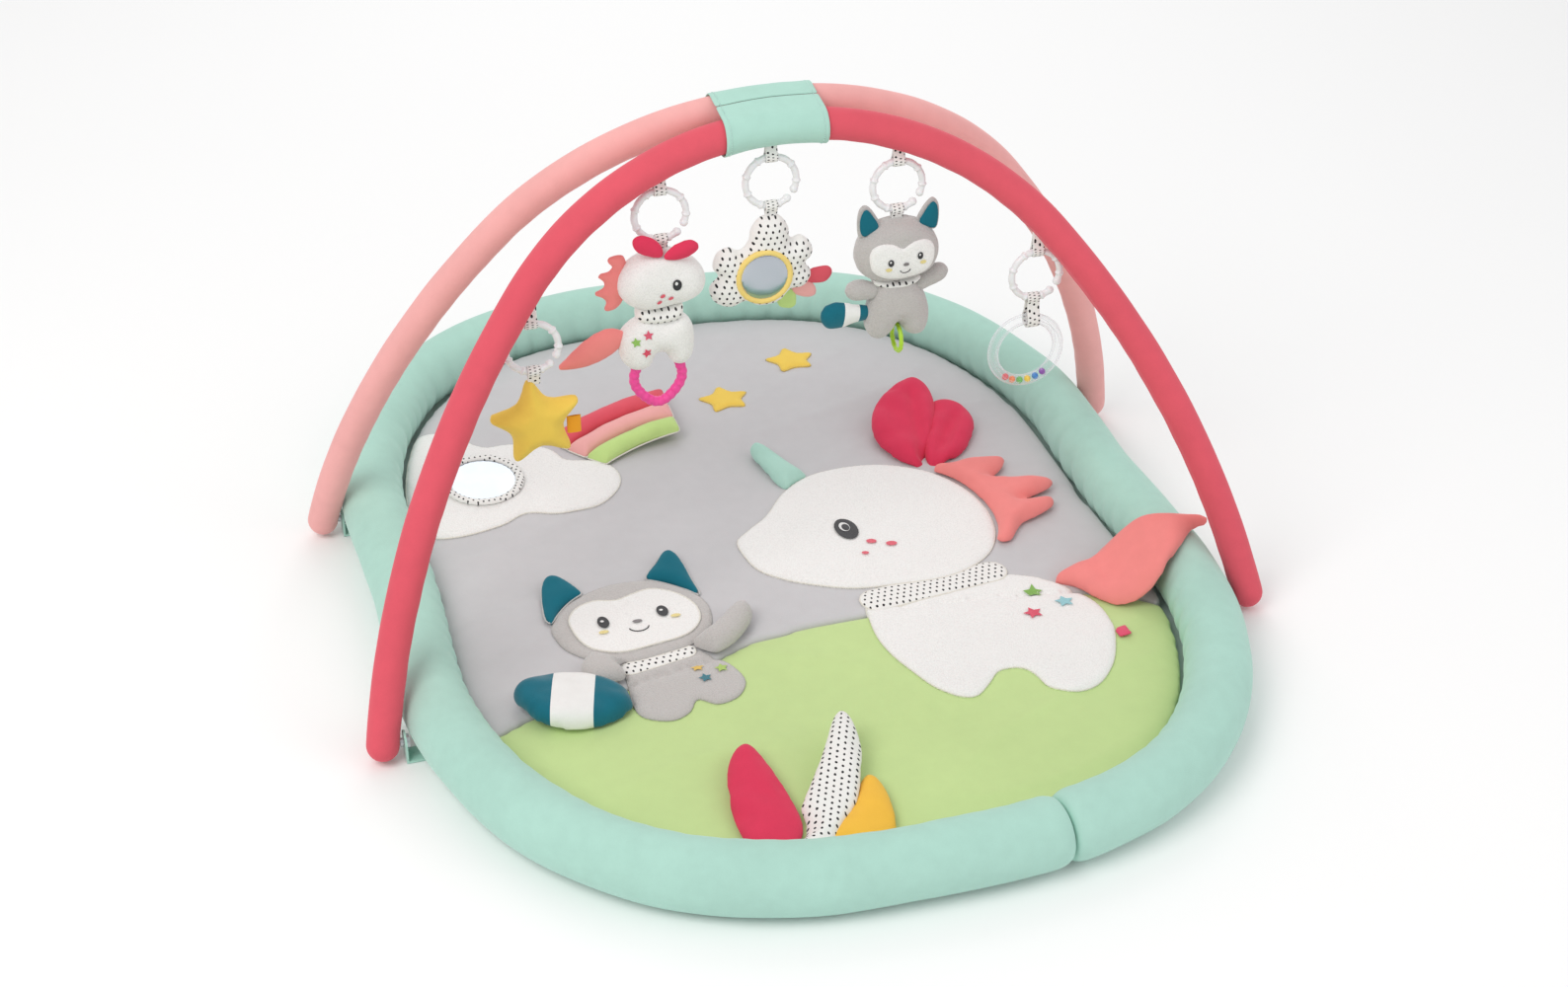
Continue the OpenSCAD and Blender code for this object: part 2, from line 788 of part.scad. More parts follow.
module hanging_loops() {
    color("whitesmoke") difference() {
        for (i = [0:4]) translate(link_top(i)) ribbon_loop(toy_drop[i], 1);
        arch_pose(front_foot_y, front_lean) arch_sweep(tube_r);
        sleeve_shadow();
    }
}

// The room that the front half of the sleeve takes, for the middle loop to stop at
module sleeve_shadow() {
    arch_pose(front_foot_y, front_lean)
        translate([0, 0, arch_h - arch_top_r]) rotate([90, 0, 0])
            rotate([0, 0, 90 - sleeve_turn - sleeve_angle / 2])
                rotate_extrude(angle = sleeve_angle, $fn = 120)
                    translate([arch_top_r - sleeve_r, -sleeve_reach])
                    square([2 * sleeve_r, 2 * sleeve_reach]);
}

// A round link with a gap at its lower right, and ball ends
module link(i) {
    translate(link_top(i) - [0, 0, link_r]) rotate([90, 0, 0]) {
        rotate([0, 0, link_gap_middle + link_gap_angle / 2]) rotate_extrude(angle = 360 - link_gap_angle)
            translate([link_r, 0]) circle(link_rod_r);
        for (s = [-1, 1])
            rotate([0, 0, link_gap_middle + s * link_gap_angle / 2]) translate([link_r, 0, 0]) sphere(link_ball_r);
    }
}

module star_link() {
    color("white") link(0);
}

module unicorn_link() {
    color("white") link(1);
}

module cloud_link() {
    color("white") link(2);
}

module raccoon_link() {
    color("white") link(3);
}

module rattle_link() {
    color("white") link(4);
}

// ---------- toys ----------

// An upright soft shape of thickness t, drawn in the X and Z plane of a toy
module upright(t) {
    rotate([90, 0, 0]) translate([0, 0, -t / 2]) linear_extrude(t) children();
}

// A toy's outline, cut flat at the top where its ribbon is sewn in, and at the bottom
toy_top = -9;

module toy_outline(points, bottom = -big) {
    intersection() {
        polygon(smooth_closed(points));
        translate([-big / 2, bottom]) square([big, toy_top - bottom]);
    }
}

// A thin flap that touches the edge of a toy's outline
module toy_flap(points, body, forward = 0) {
    translate([0, -forward, 0]) upright(flap_depth) difference() {
        polygon(smooth_closed(points));
        toy_outline(body);
    }
}

flap_depth = 8;
petal_forward = 11;
star_drop = 54;
star_turn = 97;
star_waist = 0.58;

module star_toy() {
    color("gold") translate(toy_pivot(0)) {
        ribbon_loop(-toy_top, -1);
        upright(toy_t) toy_outline([for (p = star_points(5, star_r, star_r * star_waist, star_turn)) p - [0, star_drop]]);
    }
}

unicorn_toy_outline = [[-12, -8], [12, -8], [30, -20], [40, -38], [38, -54], [22, -64], [18, -80], [28, -98],
    [28, -126], [10, -134], [2, -120], [-10, -120], [-18, -134], [-38, -130], [-46, -108], [-38, -86],
    [-20, -78], [-22, -66], [-40, -56], [-45, -36], [-34, -18]];
toy_petal_outline = [[-26, -4], [-14, 3], [0, -4], [14, 2], [24, -6], [12, -12], [-12, -12]];
toy_mane_outline = [[-40, -16], [-56, -22], [-50, -34], [-62, -44], [-52, -52], [-52, -70], [-38, -60], [-42, -36]];
toy_tail_outline = [[-40, -90], [-62, -88], [-90, -106], [-104, -122], [-80, -122], [-54, -114], [-42, -104]];
unicorn_feet = -130;
teether_at = [-6, -146];
teether_r = 25;
teether_rod_r = 5;

module unicorn_toy() {
    color("white") translate(toy_pivot(1)) {
        ribbon_loop(-toy_top, -1);
        upright(toy_t) toy_outline(unicorn_toy_outline, unicorn_feet);
        toy_flap(toy_mane_outline, unicorn_toy_outline);
        toy_flap(toy_tail_outline, unicorn_toy_outline);
        toy_flap(toy_petal_outline, unicorn_toy_outline, petal_forward);
    }
}

// A loop whose two ends are held between the toy's feet
module unicorn_teether() {
    color("hotpink") translate(toy_pivot(1)) intersection() {
        translate([teether_at[0], 0, teether_at[1]]) rotate([90, 0, 0])
            rotate_extrude() translate([teether_r, 0]) circle(teether_rod_r);
        translate([-big / 2, -big / 2, unicorn_feet - big]) cube(big);
    }
}

cloud_toy_outline = [[-8, -6], [8, -6], [18, -30], [34, -36], [41, -56], [36, -84], [16, -100], [-10, -106],
    [-36, -104], [-56, -92], [-63, -72], [-52, -52], [-48, -36], [-30, -36], [-18, -28]];
cloud_tab_outline = [[6, -80], [30, -76], [54, -72], [58, -84], [38, -100], [24, -114], [8, -110], [2, -96]];
cloud_mirror_at = [-10, -68];
mirror_rim_w = 5;
mirror_t = 3;
pouch_t = 16;

module cloud_pouch() {
    color("whitesmoke") translate(toy_pivot(2)) {
        ribbon_loop(-toy_top, -1);
        difference() {
            upright(pouch_t) toy_outline(cloud_toy_outline);
            cloud_mirror_solid();
        }
        toy_flap(cloud_tab_outline, cloud_toy_outline);
    }
}

module cloud_mirror_solid() {
    translate([cloud_mirror_at[0], -pouch_t / 2 + mirror_t / 2, cloud_mirror_at[1]]) rotate([90, 0, 0]) {
        cylinder(h = mirror_t, r = mirror_r);
        cylinder(h = mirror_t - 1, r = mirror_r + mirror_rim_w);
    }
}

module cloud_mirror() {
    color("silver") translate(toy_pivot(2)) cloud_mirror_solid();
}

raccoon_toy_outline = [[-12, -6], [12, -6], [34, -22], [42, -44], [34, -66], [22, -74], [34, -80], [54, -72],
    [52, -88], [34, -96], [38, -118], [30, -136], [12, -136], [4, -120], [-6, -136], [-24, -134],
    [-28, -112], [-26, -96], [-48, -92], [-50, -78], [-24, -76], [-34, -66], [-42, -44], [-34, -22]];
toy_ear_outline = [[-42, -30], [-42, -6], [-36, 6], [-26, -2], [-16, -20]];
toy_raccoon_tail_outline = [[-24, -104], [-42, -98], [-66, -94], [-74, -106], [-66, -120], [-44, -118], [-26, -114]];
pull_at = [4, -122];
pull_ring_gap = 2;
pull_travel = 30;
pull_hold = 12;
pull_channel_r = 3.4;
pull_cord_r = 1.2;
pull_cord_h = pull_travel + pull_hold;
pull_channel_h = pull_cord_h;

module raccoon_toy() {
    color("darkgrey") translate(toy_pivot(3)) {
        ribbon_loop(-toy_top, -1);
        difference() {
            upright(toy_t) toy_outline(raccoon_toy_outline);
            translate([pull_at[0], 0, pull_at[1] - big + pull_channel_h]) cylinder(h = big, r = pull_channel_r);
        }
        toy_flap(toy_raccoon_tail_outline, raccoon_toy_outline);
        for (s = [0, 1]) mirror([s, 0, 0]) toy_flap(toy_ear_outline, raccoon_toy_outline, petal_forward);
    }
}

// The pull ring hangs edge-on from a short cord in the raccoon's channel
module pull_ring() {
    color("yellowgreen") translate(toy_pivot(3)) translate([pull_at[0], 0, pull_at[1] - pull_ring_gap]) {
        translate([0, 0, -pull_ring_r - pull_ring_rod_r]) rotate([0, 90, 0])
            rotate_extrude() translate([pull_ring_r, 0]) circle(pull_ring_rod_r);
        translate([0, 0, -pull_ring_rod_r]) cylinder(h = pull_cord_h, r = pull_cord_r);
    }
}

module rattle_ring_place() {
    translate(toy_pivot(4)) translate([rattle_shift, 0, -rattle_drop]) rotate([90, 0, 0]) children();
}

module rattle_ring() {
    color("lightcyan") rattle_ring_place() rotate_extrude()
        translate([rattle_r, 0]) difference() {
            circle(rattle_tube_r);
            circle(rattle_bore_r);
        }
}

module rattle_beads() {
    color("orange") rattle_ring_place() for (i = [0:bead_count - 1])
        rotate([0, 0, -90 + (i - (bead_count - 1) / 2) * 14]) translate([rattle_r, 0, 0]) sphere(bead_r);
}

// A dotted strap, folded round the link above and the rattle ring below
module rattle_strap() {
    ring_top = -rattle_drop + rattle_r;
    strap_loop_r = rattle_tube_r + strap_play;
    color("whitesmoke") translate(toy_pivot(4) + [strap_x, 0, 0]) {
        ribbon_loop(loop_r, -1);
        translate([-ribbon_w / 2, -ribbon_t, ring_top + strap_loop_r]) cube([ribbon_w, 2 * ribbon_t,
            -ring_top - strap_loop_r - loop_r]);
        translate([0, 0, ring_top]) rotate([90, 0, 90]) translate([0, 0, -ribbon_w / 2])
            linear_extrude(ribbon_w) difference() {
                circle(strap_loop_r + ribbon_t);
                circle(strap_loop_r);
            }
    }
}

mat_backing();
mat_wadding();
sky_panel();
hill_panel();
rim_left();
rim_right();
rim_filling();
cloud_patch();
mat_mirror();
mirror_binding();
rainbow_flap();
star_patches();
unicorn_head();
unicorn_neck_band();
unicorn_body();
unicorn_horn();
forelock_petals();
unicorn_mane();
unicorn_tail();
raccoon_head();
raccoon_face();
raccoon_ears();
raccoon_arms();
raccoon_body();
raccoon_neck_band();
raccoon_tail();
leaf_coral();
leaf_dotted();
leaf_yellow();
side_tab();
foot_tabs();
foot_sockets();
front_rod();
front_foam();
front_cover();
front_studs();
sleeve_front();
hook_strip();
hanging_loops();
rear_rod();
rear_foam();
rear_cover();
rear_studs();
sleeve_rear();
loop_strip();
star_link();
star_toy();
unicorn_link();
unicorn_toy();
unicorn_teether();
cloud_link();
cloud_pouch();
cloud_mirror();
raccoon_link();
raccoon_toy();
pull_ring();
rattle_link();
rattle_strap();
rattle_ring();
rattle_beads();
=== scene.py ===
"""Looks for a baby's activity play gym: a padded mat, two padded arches and five hanging toys."""

import logging
import math
from dataclasses import dataclass, field
from enum import Enum
from typing import Callable, Optional, Sequence, Union

import bmesh
import bpy
import numpy as np
from mathutils import Matrix, Vector, noise
from mathutils.bvhtree import BVHTree


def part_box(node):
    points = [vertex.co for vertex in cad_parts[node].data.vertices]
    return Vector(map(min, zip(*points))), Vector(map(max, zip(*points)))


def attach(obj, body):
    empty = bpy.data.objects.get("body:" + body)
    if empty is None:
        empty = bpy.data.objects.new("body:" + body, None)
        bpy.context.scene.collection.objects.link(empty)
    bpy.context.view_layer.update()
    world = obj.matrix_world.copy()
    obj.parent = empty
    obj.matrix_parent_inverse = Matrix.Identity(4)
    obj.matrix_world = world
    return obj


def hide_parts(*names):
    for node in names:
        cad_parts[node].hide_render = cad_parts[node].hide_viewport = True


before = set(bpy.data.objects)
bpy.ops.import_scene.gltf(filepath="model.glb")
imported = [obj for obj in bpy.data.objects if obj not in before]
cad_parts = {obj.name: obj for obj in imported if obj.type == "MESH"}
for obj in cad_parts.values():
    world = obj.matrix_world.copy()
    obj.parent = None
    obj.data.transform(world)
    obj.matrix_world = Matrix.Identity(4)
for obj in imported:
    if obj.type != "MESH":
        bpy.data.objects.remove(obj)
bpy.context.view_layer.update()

LOG = logging.getLogger("play_gym")
MM = 0.001
Piece = bpy.types.Object
Point2 = tuple[float, float]
Color = tuple[int, int, int]


# ---------------------------------------------------------------- shader writing


class Signal:
    """A shader value that Python's own operators work on: each adds a Math node."""

    def __init__(self, tree: bpy.types.NodeTree, socket: bpy.types.NodeSocket) -> None:
        """Keep the tree that new nodes go to, and the socket that carries the value."""
        self.tree = tree
        self.socket = socket

    def math(self, operation: str, *others: Union["Signal", float], first: bool = True) -> "Signal":
        """Add one Math node.

        Args:
            operation: the Math node's operation.
            others: the other values, signals or numbers.
            first: whether this signal is the node's first value.

        Returns:
            The node's result.
        """
        node = self.tree.nodes.new("ShaderNodeMath")
        node.operation = operation
        values = [self, *others] if first else [*others, self]
        for slot, value in zip(node.inputs, values):
            if isinstance(value, Signal):
                self.tree.links.new(value.socket, slot)
            else:
                slot.default_value = value
        return Signal(self.tree, node.outputs[0])

    def __add__(self, other: Union["Signal", float]) -> "Signal":
        """Sum."""
        return self.math("ADD", other)

    __radd__ = __add__

    def __mul__(self, other: Union["Signal", float]) -> "Signal":
        """Product."""
        return self.math("MULTIPLY", other)

    __rmul__ = __mul__

    def __sub__(self, other: Union["Signal", float]) -> "Signal":
        """Difference."""
        return self.math("SUBTRACT", other)

    def __rsub__(self, other: float) -> "Signal":
        """Difference, with the number first."""
        return self.math("SUBTRACT", other, first=False)

    def __truediv__(self, other: Union["Signal", float]) -> "Signal":
        """Quotient."""
        return self.math("DIVIDE", other)

    def __lt__(self, other: Union["Signal", float]) -> "Signal":
        """1 where this is the smaller, or 0."""
        return self.math("LESS_THAN", other)

    def fold(self) -> "Signal":
        """The distance to the nearest whole number, from 0 to a half."""
        return (self.math("FRACT") - 0.5).math("ABSOLUTE").math("SUBTRACT", 0.5, first=False)


class Recipe:
    """One material's node tree, and the few ways in which the finishes fill it."""

    def __init__(self, name: str) -> None:
        """Start a material that holds one Principled shader."""
        self.material = bpy.data.materials.new(name)
        self.material.use_nodes = True
        self.tree = self.material.node_tree
        self.shader = self.tree.nodes["Principled BSDF"]
        self.place = self.out("ShaderNodeTexCoord", "Object")

    def node(self, kind: str, settings: dict, inputs: dict) -> bpy.types.Node:
        """Add any node.

        Args:
            kind: the node's type.
            settings: properties of the node, set first.
            inputs: values or signals for its sockets, by name or number.

        Returns:
            The node.
        """
        made = self.tree.nodes.new(kind)
        for name, value in settings.items():
            setattr(made, name, value)
        for name, value in inputs.items():
            if isinstance(value, Signal):
                self.tree.links.new(value.socket, made.inputs[name])
            else:
                made.inputs[name].default_value = value
        return made

    def out(self, kind: str, output: Union[str, int], settings: Optional[dict] = None, **inputs) -> Signal:
        """Add a node and give one of its outputs; underscores in an input's name are spaces."""
        named = {k.replace("_", " "): v for k, v in inputs.items()}
        return Signal(self.tree, self.node(kind, settings or {}, named).outputs[output])

    def noise(self, scale: float, detail: float = 2.0) -> Signal:
        """Soft noise on the piece's own coordinates, at that many blotches a metre."""
        return self.out("ShaderNodeTexNoise", "Fac", Vector=self.place, Scale=scale, Detail=detail)

    def blend(self, a: Union[Signal, Color], b: Union[Signal, Color], amount: Signal) -> Signal:
        """Mix two colours.

        Args:
            a: the colour where amount is 0.
            b: the colour where amount is 1.
            amount: the share of b.

        Returns:
            The mixed colour.
        """
        made = self.node("ShaderNodeMix", {"data_type": "RGBA"}, {0: amount})
        for socket, value in ((made.inputs[6], a), (made.inputs[7], b)):
            if isinstance(value, Signal):
                self.tree.links.new(value.socket, socket)
            else:
                socket.default_value = linear(value)
        return Signal(self.tree, made.outputs[2])

    def paint(self, color: Union[Signal, Color]) -> None:
        """Set the base colour, to a colour or a signal."""
        if isinstance(color, Signal):
            self.tree.links.new(color.socket, self.shader.inputs["Base Color"])
        else:
            self.shader.inputs["Base Color"].default_value = linear(color)

    def relief(self, height: Signal, strength: float, distance: float) -> None:
        """Raise the surface's normal by a height signal."""
        bump = self.node("ShaderNodeBump", {}, {"Height": height, "Strength": strength, "Distance": distance})
        self.tree.links.new(bump.outputs[0], self.shader.inputs["Normal"])

    def fixed(self, **values: Union[float, Color]) -> None:
        """Set the shader's own sockets; underscores in a name are spaces."""
        for name, value in values.items():
            self.shader.inputs[name.replace("_", " ")].default_value = value


def linear(color: Color) -> tuple[float, float, float, float]:
    """A screen colour of three whole numbers as linear light.

    Args:
        color: red, green and blue from 0 to 255.

    Returns:
        Linear red, green and blue, and 1.
    """
    parts = [c / 255 for c in color]
    return tuple(p / 12.92 if p <= 0.04045 else ((p + 0.055) / 1.055) ** 2.4 for p in parts) + (1.0,)


def toned(color: Color, factor: float) -> Color:
    """A colour made darker or lighter by a factor."""
    return tuple(min(255, int(c * factor)) for c in color)


# ---------------------------------------------------------------- finishes


@dataclass(frozen=True)
class Velour:
    """Short-pile velour: soft sheen, pile that leans in patches painted lighter and darker as light would
    catch them (painted sheen and shade), a fine grain.
    """

    name: str
    color: Color
    # how far patches of pile are painted lighter and darker: painted sheen and shade
    lean: float = 0.10
    pile: float = 0.35

    def material(self) -> bpy.types.Material:
        """Build the material."""
        r = Recipe(self.name)
        drift = r.noise(9.0, 3.0)
        brushed = r.noise(70.0, 4.0)
        grain = r.noise(1100.0, 2.0)
        # Painted sheen and shade: the pile is coloured lighter and darker in patches, the way light would
        # catch it where it leans, over a fine grain.
        tone_and_shade = drift * 0.5 + brushed * 0.3 + grain * 0.2
        r.paint(r.blend(toned(self.color, 1 - self.lean), toned(self.color, 1 + self.lean * 0.7), tone_and_shade))
        r.relief(grain * 0.7 + brushed * 0.3, self.pile, 0.0006)
        sheen = linear(tuple(int(c * 0.55 + 115) for c in self.color))
        r.fixed(Roughness=0.9, Sheen_Weight=0.5, Sheen_Roughness=0.45, Sheen_Tint=sheen)
        r.fixed(Specular_IOR_Level=0.15)
        return r.material


@dataclass(frozen=True)
class Fleece:
    """Deep napped plush: small curls that shade each other."""

    name: str
    color: Color
    curl: float = 700.0
    depth: float = 0.5

    def material(self) -> bpy.types.Material:
        """Build the material."""
        r = Recipe(self.name)
        curls = r.out("ShaderNodeTexVoronoi", "Distance", Vector=r.place, Scale=self.curl)
        fibres = r.noise(self.curl * 3, 4.0)
        drift = r.noise(25.0, 2.0)
        # Painted shade: the colour darkens in the gaps between the curls, where the raised curls shade each
        # other; the fibres and drift add random tone.
        tone_and_shade = 1.0 - curls * 0.7 - fibres * 0.3 + drift * 0.15
        r.paint(r.blend(toned(self.color, 0.93), toned(self.color, 1.03), tone_and_shade))
        r.relief(fibres * 0.5 - curls, self.depth, 0.0012)
        r.fixed(Roughness=1.0, Sheen_Weight=0.5, Sheen_Roughness=0.6, Specular_IOR_Level=0.1)
        return r.material


class Ground(Enum):
    """Which two of a piece's coordinates a print lies on."""

    FLAT = ("X", "Y")
    UPRIGHT = ("X", "Z")
    UV = ("U", "V")


@dataclass(frozen=True)
class DottedCotton:
    """White woven cotton, printed with staggered black oval dots."""

    name: str
    ground: Ground = Ground.FLAT
    pitch: float = 7.0 * MM
    dot: float = 0.215
    color: Color = (238, 237, 234)
    ink: Color = (38, 36, 40)

    def material(self) -> bpy.types.Material:
        """Build the material."""
        r = Recipe(self.name)
        place = r.out("ShaderNodeTexCoord", "UV") if self.ground is Ground.UV else r.place
        wobble = r.noise(260.0, 1.0) * 0.22
        parts = r.node("ShaderNodeSeparateXYZ", {}, {0: place})
        across = Signal(r.tree, parts.outputs[0]) / self.pitch + wobble
        along = Signal(r.tree, parts.outputs[2 if self.ground is Ground.UPRIGHT else 1]) / (self.pitch * 0.9)
        row = along.math("FLOOR")
        stagger = (row * 0.5).math("FRACT") + row * 0.13
        x = (across + stagger).math("FRACT") - 0.5
        y = (along - row) - 0.5
        apart = (x * x * 1.7 + y * y * 0.8).math("SQRT")
        ink = apart < self.dot
        weave = r.noise(1500.0, 2.0)
        cloth = r.blend(toned(self.color, 0.95), toned(self.color, 1.03), weave)
        r.paint(r.blend(cloth, self.ink, ink))
        threads = ((across * 14.0).fold() + (along * 14.0).fold()) * 0.5
        r.relief(threads + weave * 0.5, 0.25, 0.0003)
        r.fixed(Roughness=0.85, Sheen_Weight=0.15, Specular_IOR_Level=0.2)
        return r.material


@dataclass(frozen=True)
class BandedVelour:
    """Velour in bands of two colours across a piece, between two planes."""

    name: str
    color: Color
    band: Color
    middle: tuple[float, float, float]
    along: tuple[float, float, float]
    half_width: float

    def material(self) -> bpy.types.Material:
        """Build the material."""
        r = Recipe(self.name)
        axis = Vector(self.along).normalized()
        centre = Vector(self.middle)
        way = r.out("ShaderNodeVectorMath", "Value", {"operation": "DOT_PRODUCT"})
        way_node = way.socket.node
        r.tree.links.new(r.place.socket, way_node.inputs[0])
        way_node.inputs[1].default_value = axis
        inside = (way - centre.dot(axis)).math("ABSOLUTE") < self.half_width
        grain = r.noise(1100.0, 2.0)
        brushed = r.noise(70.0, 4.0)
        # Painted sheen and shade: the pile of both bands is coloured lighter and darker in patches, as in
        # Velour.
        tone_and_shade = brushed * 0.6 + grain * 0.4
        dark = r.blend(toned(self.color, 0.88), toned(self.color, 1.1), tone_and_shade)
        light = r.blend(toned(self.band, 0.93), toned(self.band, 1.02), tone_and_shade)
        r.paint(r.blend(dark, light, inside))
        r.relief(grain, 0.35, 0.0006)
        r.fixed(Roughness=0.9, Sheen_Weight=0.3, Sheen_Roughness=0.45, Specular_IOR_Level=0.15)
        return r.material


@dataclass(frozen=True)
class Thread:
    """Embroidery and edging thread, with a fine twist."""

    name: str
    color: Color
    gloss: float = 0.55

    def material(self) -> bpy.types.Material:
        """Build the material."""
        r = Recipe(self.name)
        strands = r.out("ShaderNodeTexWave", "Fac", {"bands_direction": "DIAGONAL"}, Vector=r.place,
                        Scale=420.0, Distortion=1.5)
        r.paint(r.blend(toned(self.color, 0.82), toned(self.color, 1.08), strands))
        r.relief(strands, 0.5, 0.0003)
        r.fixed(Roughness=self.gloss, Sheen_Weight=0.2)
        return r.material


@dataclass(frozen=True)
class Plastic:
    """Glossy moulded plastic, with the faint unevenness of a moulding."""

    name: str
    color: Color
    roughness: float = 0.28
    milk: float = 0.0
    grip: float = 0.0

    def material(self) -> bpy.types.Material:
        """Build the material."""
        r = Recipe(self.name)
        flow = r.noise(60.0, 3.0)
        r.paint(r.blend(toned(self.color, 0.97), toned(self.color, 1.02), flow))
        if self.grip:
            lumps = r.out("ShaderNodeTexVoronoi", "Distance", Vector=r.place, Scale=330.0)
            r.relief(1.0 - lumps, self.grip, 0.001)
        else:
            r.relief(flow, 0.06, 0.0005)
        r.fixed(Roughness=self.roughness, Subsurface_Weight=self.milk, Coat_Weight=0.2, Coat_Roughness=0.15)
        r.shader.inputs["Subsurface Radius"].default_value = (0.004, 0.003, 0.002)
        return r.material


@dataclass(frozen=True)
class ClearPlastic:
    """Clear moulded tube."""

    name: str

    def material(self) -> bpy.types.Material:
        """Build the material."""
        r = Recipe(self.name)
        r.paint((240, 243, 248))
        rim = r.out("ShaderNodeLayerWeight", "Facing", Blend=0.35)
        seen = rim * 0.8 + 0.05
        r.tree.links.new(seen.socket, r.shader.inputs["Alpha"])
        r.fixed(Roughness=0.06, Coat_Weight=0.6, Coat_Roughness=0.03)
        return r.material


@dataclass(frozen=True)
class MirrorFilm:
    """Flexible mirror film, a little wavy."""

    name: str

    def material(self) -> bpy.types.Material:
        """Build the material."""
        r = Recipe(self.name)
        ripple = r.noise(22.0, 2.0)
        r.paint(r.blend((172, 178, 186), (196, 202, 209), ripple))
        r.relief(ripple, 0.18, 0.004)
        r.fixed(Roughness=0.12, Metallic=0.92)
        return r.material


@dataclass(frozen=True)
class Metal:
    """Brushed press-stud metal."""

    name: str

    def material(self) -> bpy.types.Material:
        """Build the material."""
        r = Recipe(self.name)
        scratch = r.noise(900.0, 3.0)
        r.paint(r.blend((176, 178, 182), (200, 202, 205), scratch))
        r.relief(scratch, 0.1, 0.0002)
        r.fixed(Roughness=0.32, Metallic=1.0)
        return r.material


Finish = Union[Velour, Fleece, DottedCotton, BandedVelour, Thread, Plastic, ClearPlastic, MirrorFilm, Metal]


class Cloths:
    """The finishes that several sub-assemblies share."""

    # Each velour's lean (0.10 unless given) sets how strongly its pile is painted lighter and darker: painted
    # sheen and shade.
    MINT = Velour("mint_velour", (176, 216, 203))
    GREY = Velour("grey_velour", (199, 198, 200), lean=0.06)
    GREEN = Velour("green_velour", (196, 219, 152), lean=0.06)
    CORAL = Velour("coral_velour", (224, 92, 106))
    PINK = Velour("pink_velour", (245, 176, 173))
    RASPBERRY = Velour("raspberry_velour", (221, 60, 92))
    SALMON = Velour("salmon_velour", (248, 142, 138))
    YELLOW = Velour("yellow_velour", (244, 205, 92))
    AMBER = Velour("amber_velour", (250, 190, 72))
    TEAL = Velour("teal_velour", (24, 106, 124))
    WHITE_VELOUR = Velour("white_velour", (240, 240, 238), lean=0.04)
    WHITE = Fleece("white_fleece", (240, 239, 237), depth=0.35)
    GREY_FLEECE = Fleece("grey_fleece", (192, 188, 185))
    COTTON = Velour("backing_cotton", (206, 226, 219), lean=0.04, pile=0.15)
    WADDING = Fleece("wadding", (240, 240, 236), curl=160.0)
    FOAM = Fleece("foam", (236, 232, 214), curl=900.0, depth=0.3)
    DOTS_FLAT = DottedCotton("dotted_cotton_flat", Ground.FLAT)
    DOTS_UPRIGHT = DottedCotton("dotted_cotton_upright", Ground.UPRIGHT, pitch=6.5 * MM)
    DOTS_RIBBON = DottedCotton("dotted_ribbon", Ground.UV, pitch=5.2 * MM, dot=0.23)
    EDGE = Thread("cream_edging", (238, 234, 224))
    INK = Thread("black_thread", (34, 33, 38))
    LINK = Plastic("white_plastic", (236, 236, 238), 0.24, milk=0.06)


class Dresser:
    """Gives each finish one material, and each piece its finish and body."""

    def __init__(self) -> None:
        """Start with no material made."""
        self.made: dict[str, bpy.types.Material] = {}

    def material(self, finish: Finish) -> bpy.types.Material:
        """The material of a finish, made on first use."""
        if finish.name not in self.made:
            self.made[finish.name] = finish.material()
        return self.made[finish.name]

    def dress(self, piece: Piece, finish: Finish) -> None:
        """Put a finish on a piece, in place of what it had."""
        piece.data.materials.clear()
        piece.data.materials.append(self.material(finish))

    def fit(self, piece: Piece, body: str, finish: Finish, slot: str, *nodes: str,
            fill: Optional[float] = None) -> Piece:
        """Finish a piece, attach it to its body and hide the CAD nodes that it stands for.

        Args:
            piece: the piece, with its final mesh.
            body: the body that it moves with.
            finish: what it is made of.
            slot: the record's material slot; not used.
            nodes: the CAD nodes that it stands for.
            fill: how tightly it is stuffed, for a padded piece; not used.

        Returns:
            The piece.
        """
        self.dress(piece, finish)
        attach(piece, body)
        if nodes:
            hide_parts(*nodes)
        LOG.info("%s rides on %s, %d faces", piece.name, body, len(piece.data.polygons))
        return piece


DRESSER = Dresser()


# ---------------------------------------------------------------- shaping


def piece_from(bm: bmesh.types.BMesh, name: str, smooth: bool = True) -> Piece:
    """Make a piece from a bmesh, and free the bmesh.

    Args:
        bm: the shape, in metres in the row frame.
        name: the piece's name.
        smooth: whether its faces shade smoothly.

    Returns:
        The piece, linked into the scene.
    """
    mesh = bpy.data.meshes.new(name)
    bm.to_mesh(mesh)
    bm.free()
    mesh.polygons.foreach_set("use_smooth", [smooth] * len(mesh.polygons))
    made = bpy.data.objects.new(name, mesh)
    bpy.context.scene.collection.objects.link(made)
    return made


def settled(piece: Piece) -> Piece:
    """Apply a piece's modifiers to its mesh."""
    graph = bpy.context.evaluated_depsgraph_get()
    mesh = bpy.data.meshes.new_from_object(piece.evaluated_get(graph))
    piece.modifiers.clear()
    old = piece.data
    piece.data = mesh
    mesh.name = piece.name
    bpy.data.meshes.remove(old)
    mesh.polygons.foreach_set("use_smooth", [True] * len(mesh.polygons))
    return piece


def subdivided(piece: Piece, levels: int = 1) -> Piece:
    """Round a piece off with a subdivision surface."""
    rounding = piece.modifiers.new("rounding", "SUBSURF")
    rounding.levels = levels
    rounding.render_levels = levels
    return piece


def coordinates(piece: Piece) -> np.ndarray:
    """A piece's vertices as rows of x, y and z."""
    co = np.zeros(len(piece.data.vertices) * 3)
    piece.data.vertices.foreach_get("co", co)
    return co.reshape(-1, 3)


def move_to(piece: Piece, co: np.ndarray) -> None:
    """Put a piece's vertices at new places."""
    piece.data.vertices.foreach_set("co", co.ravel())
    piece.data.update()


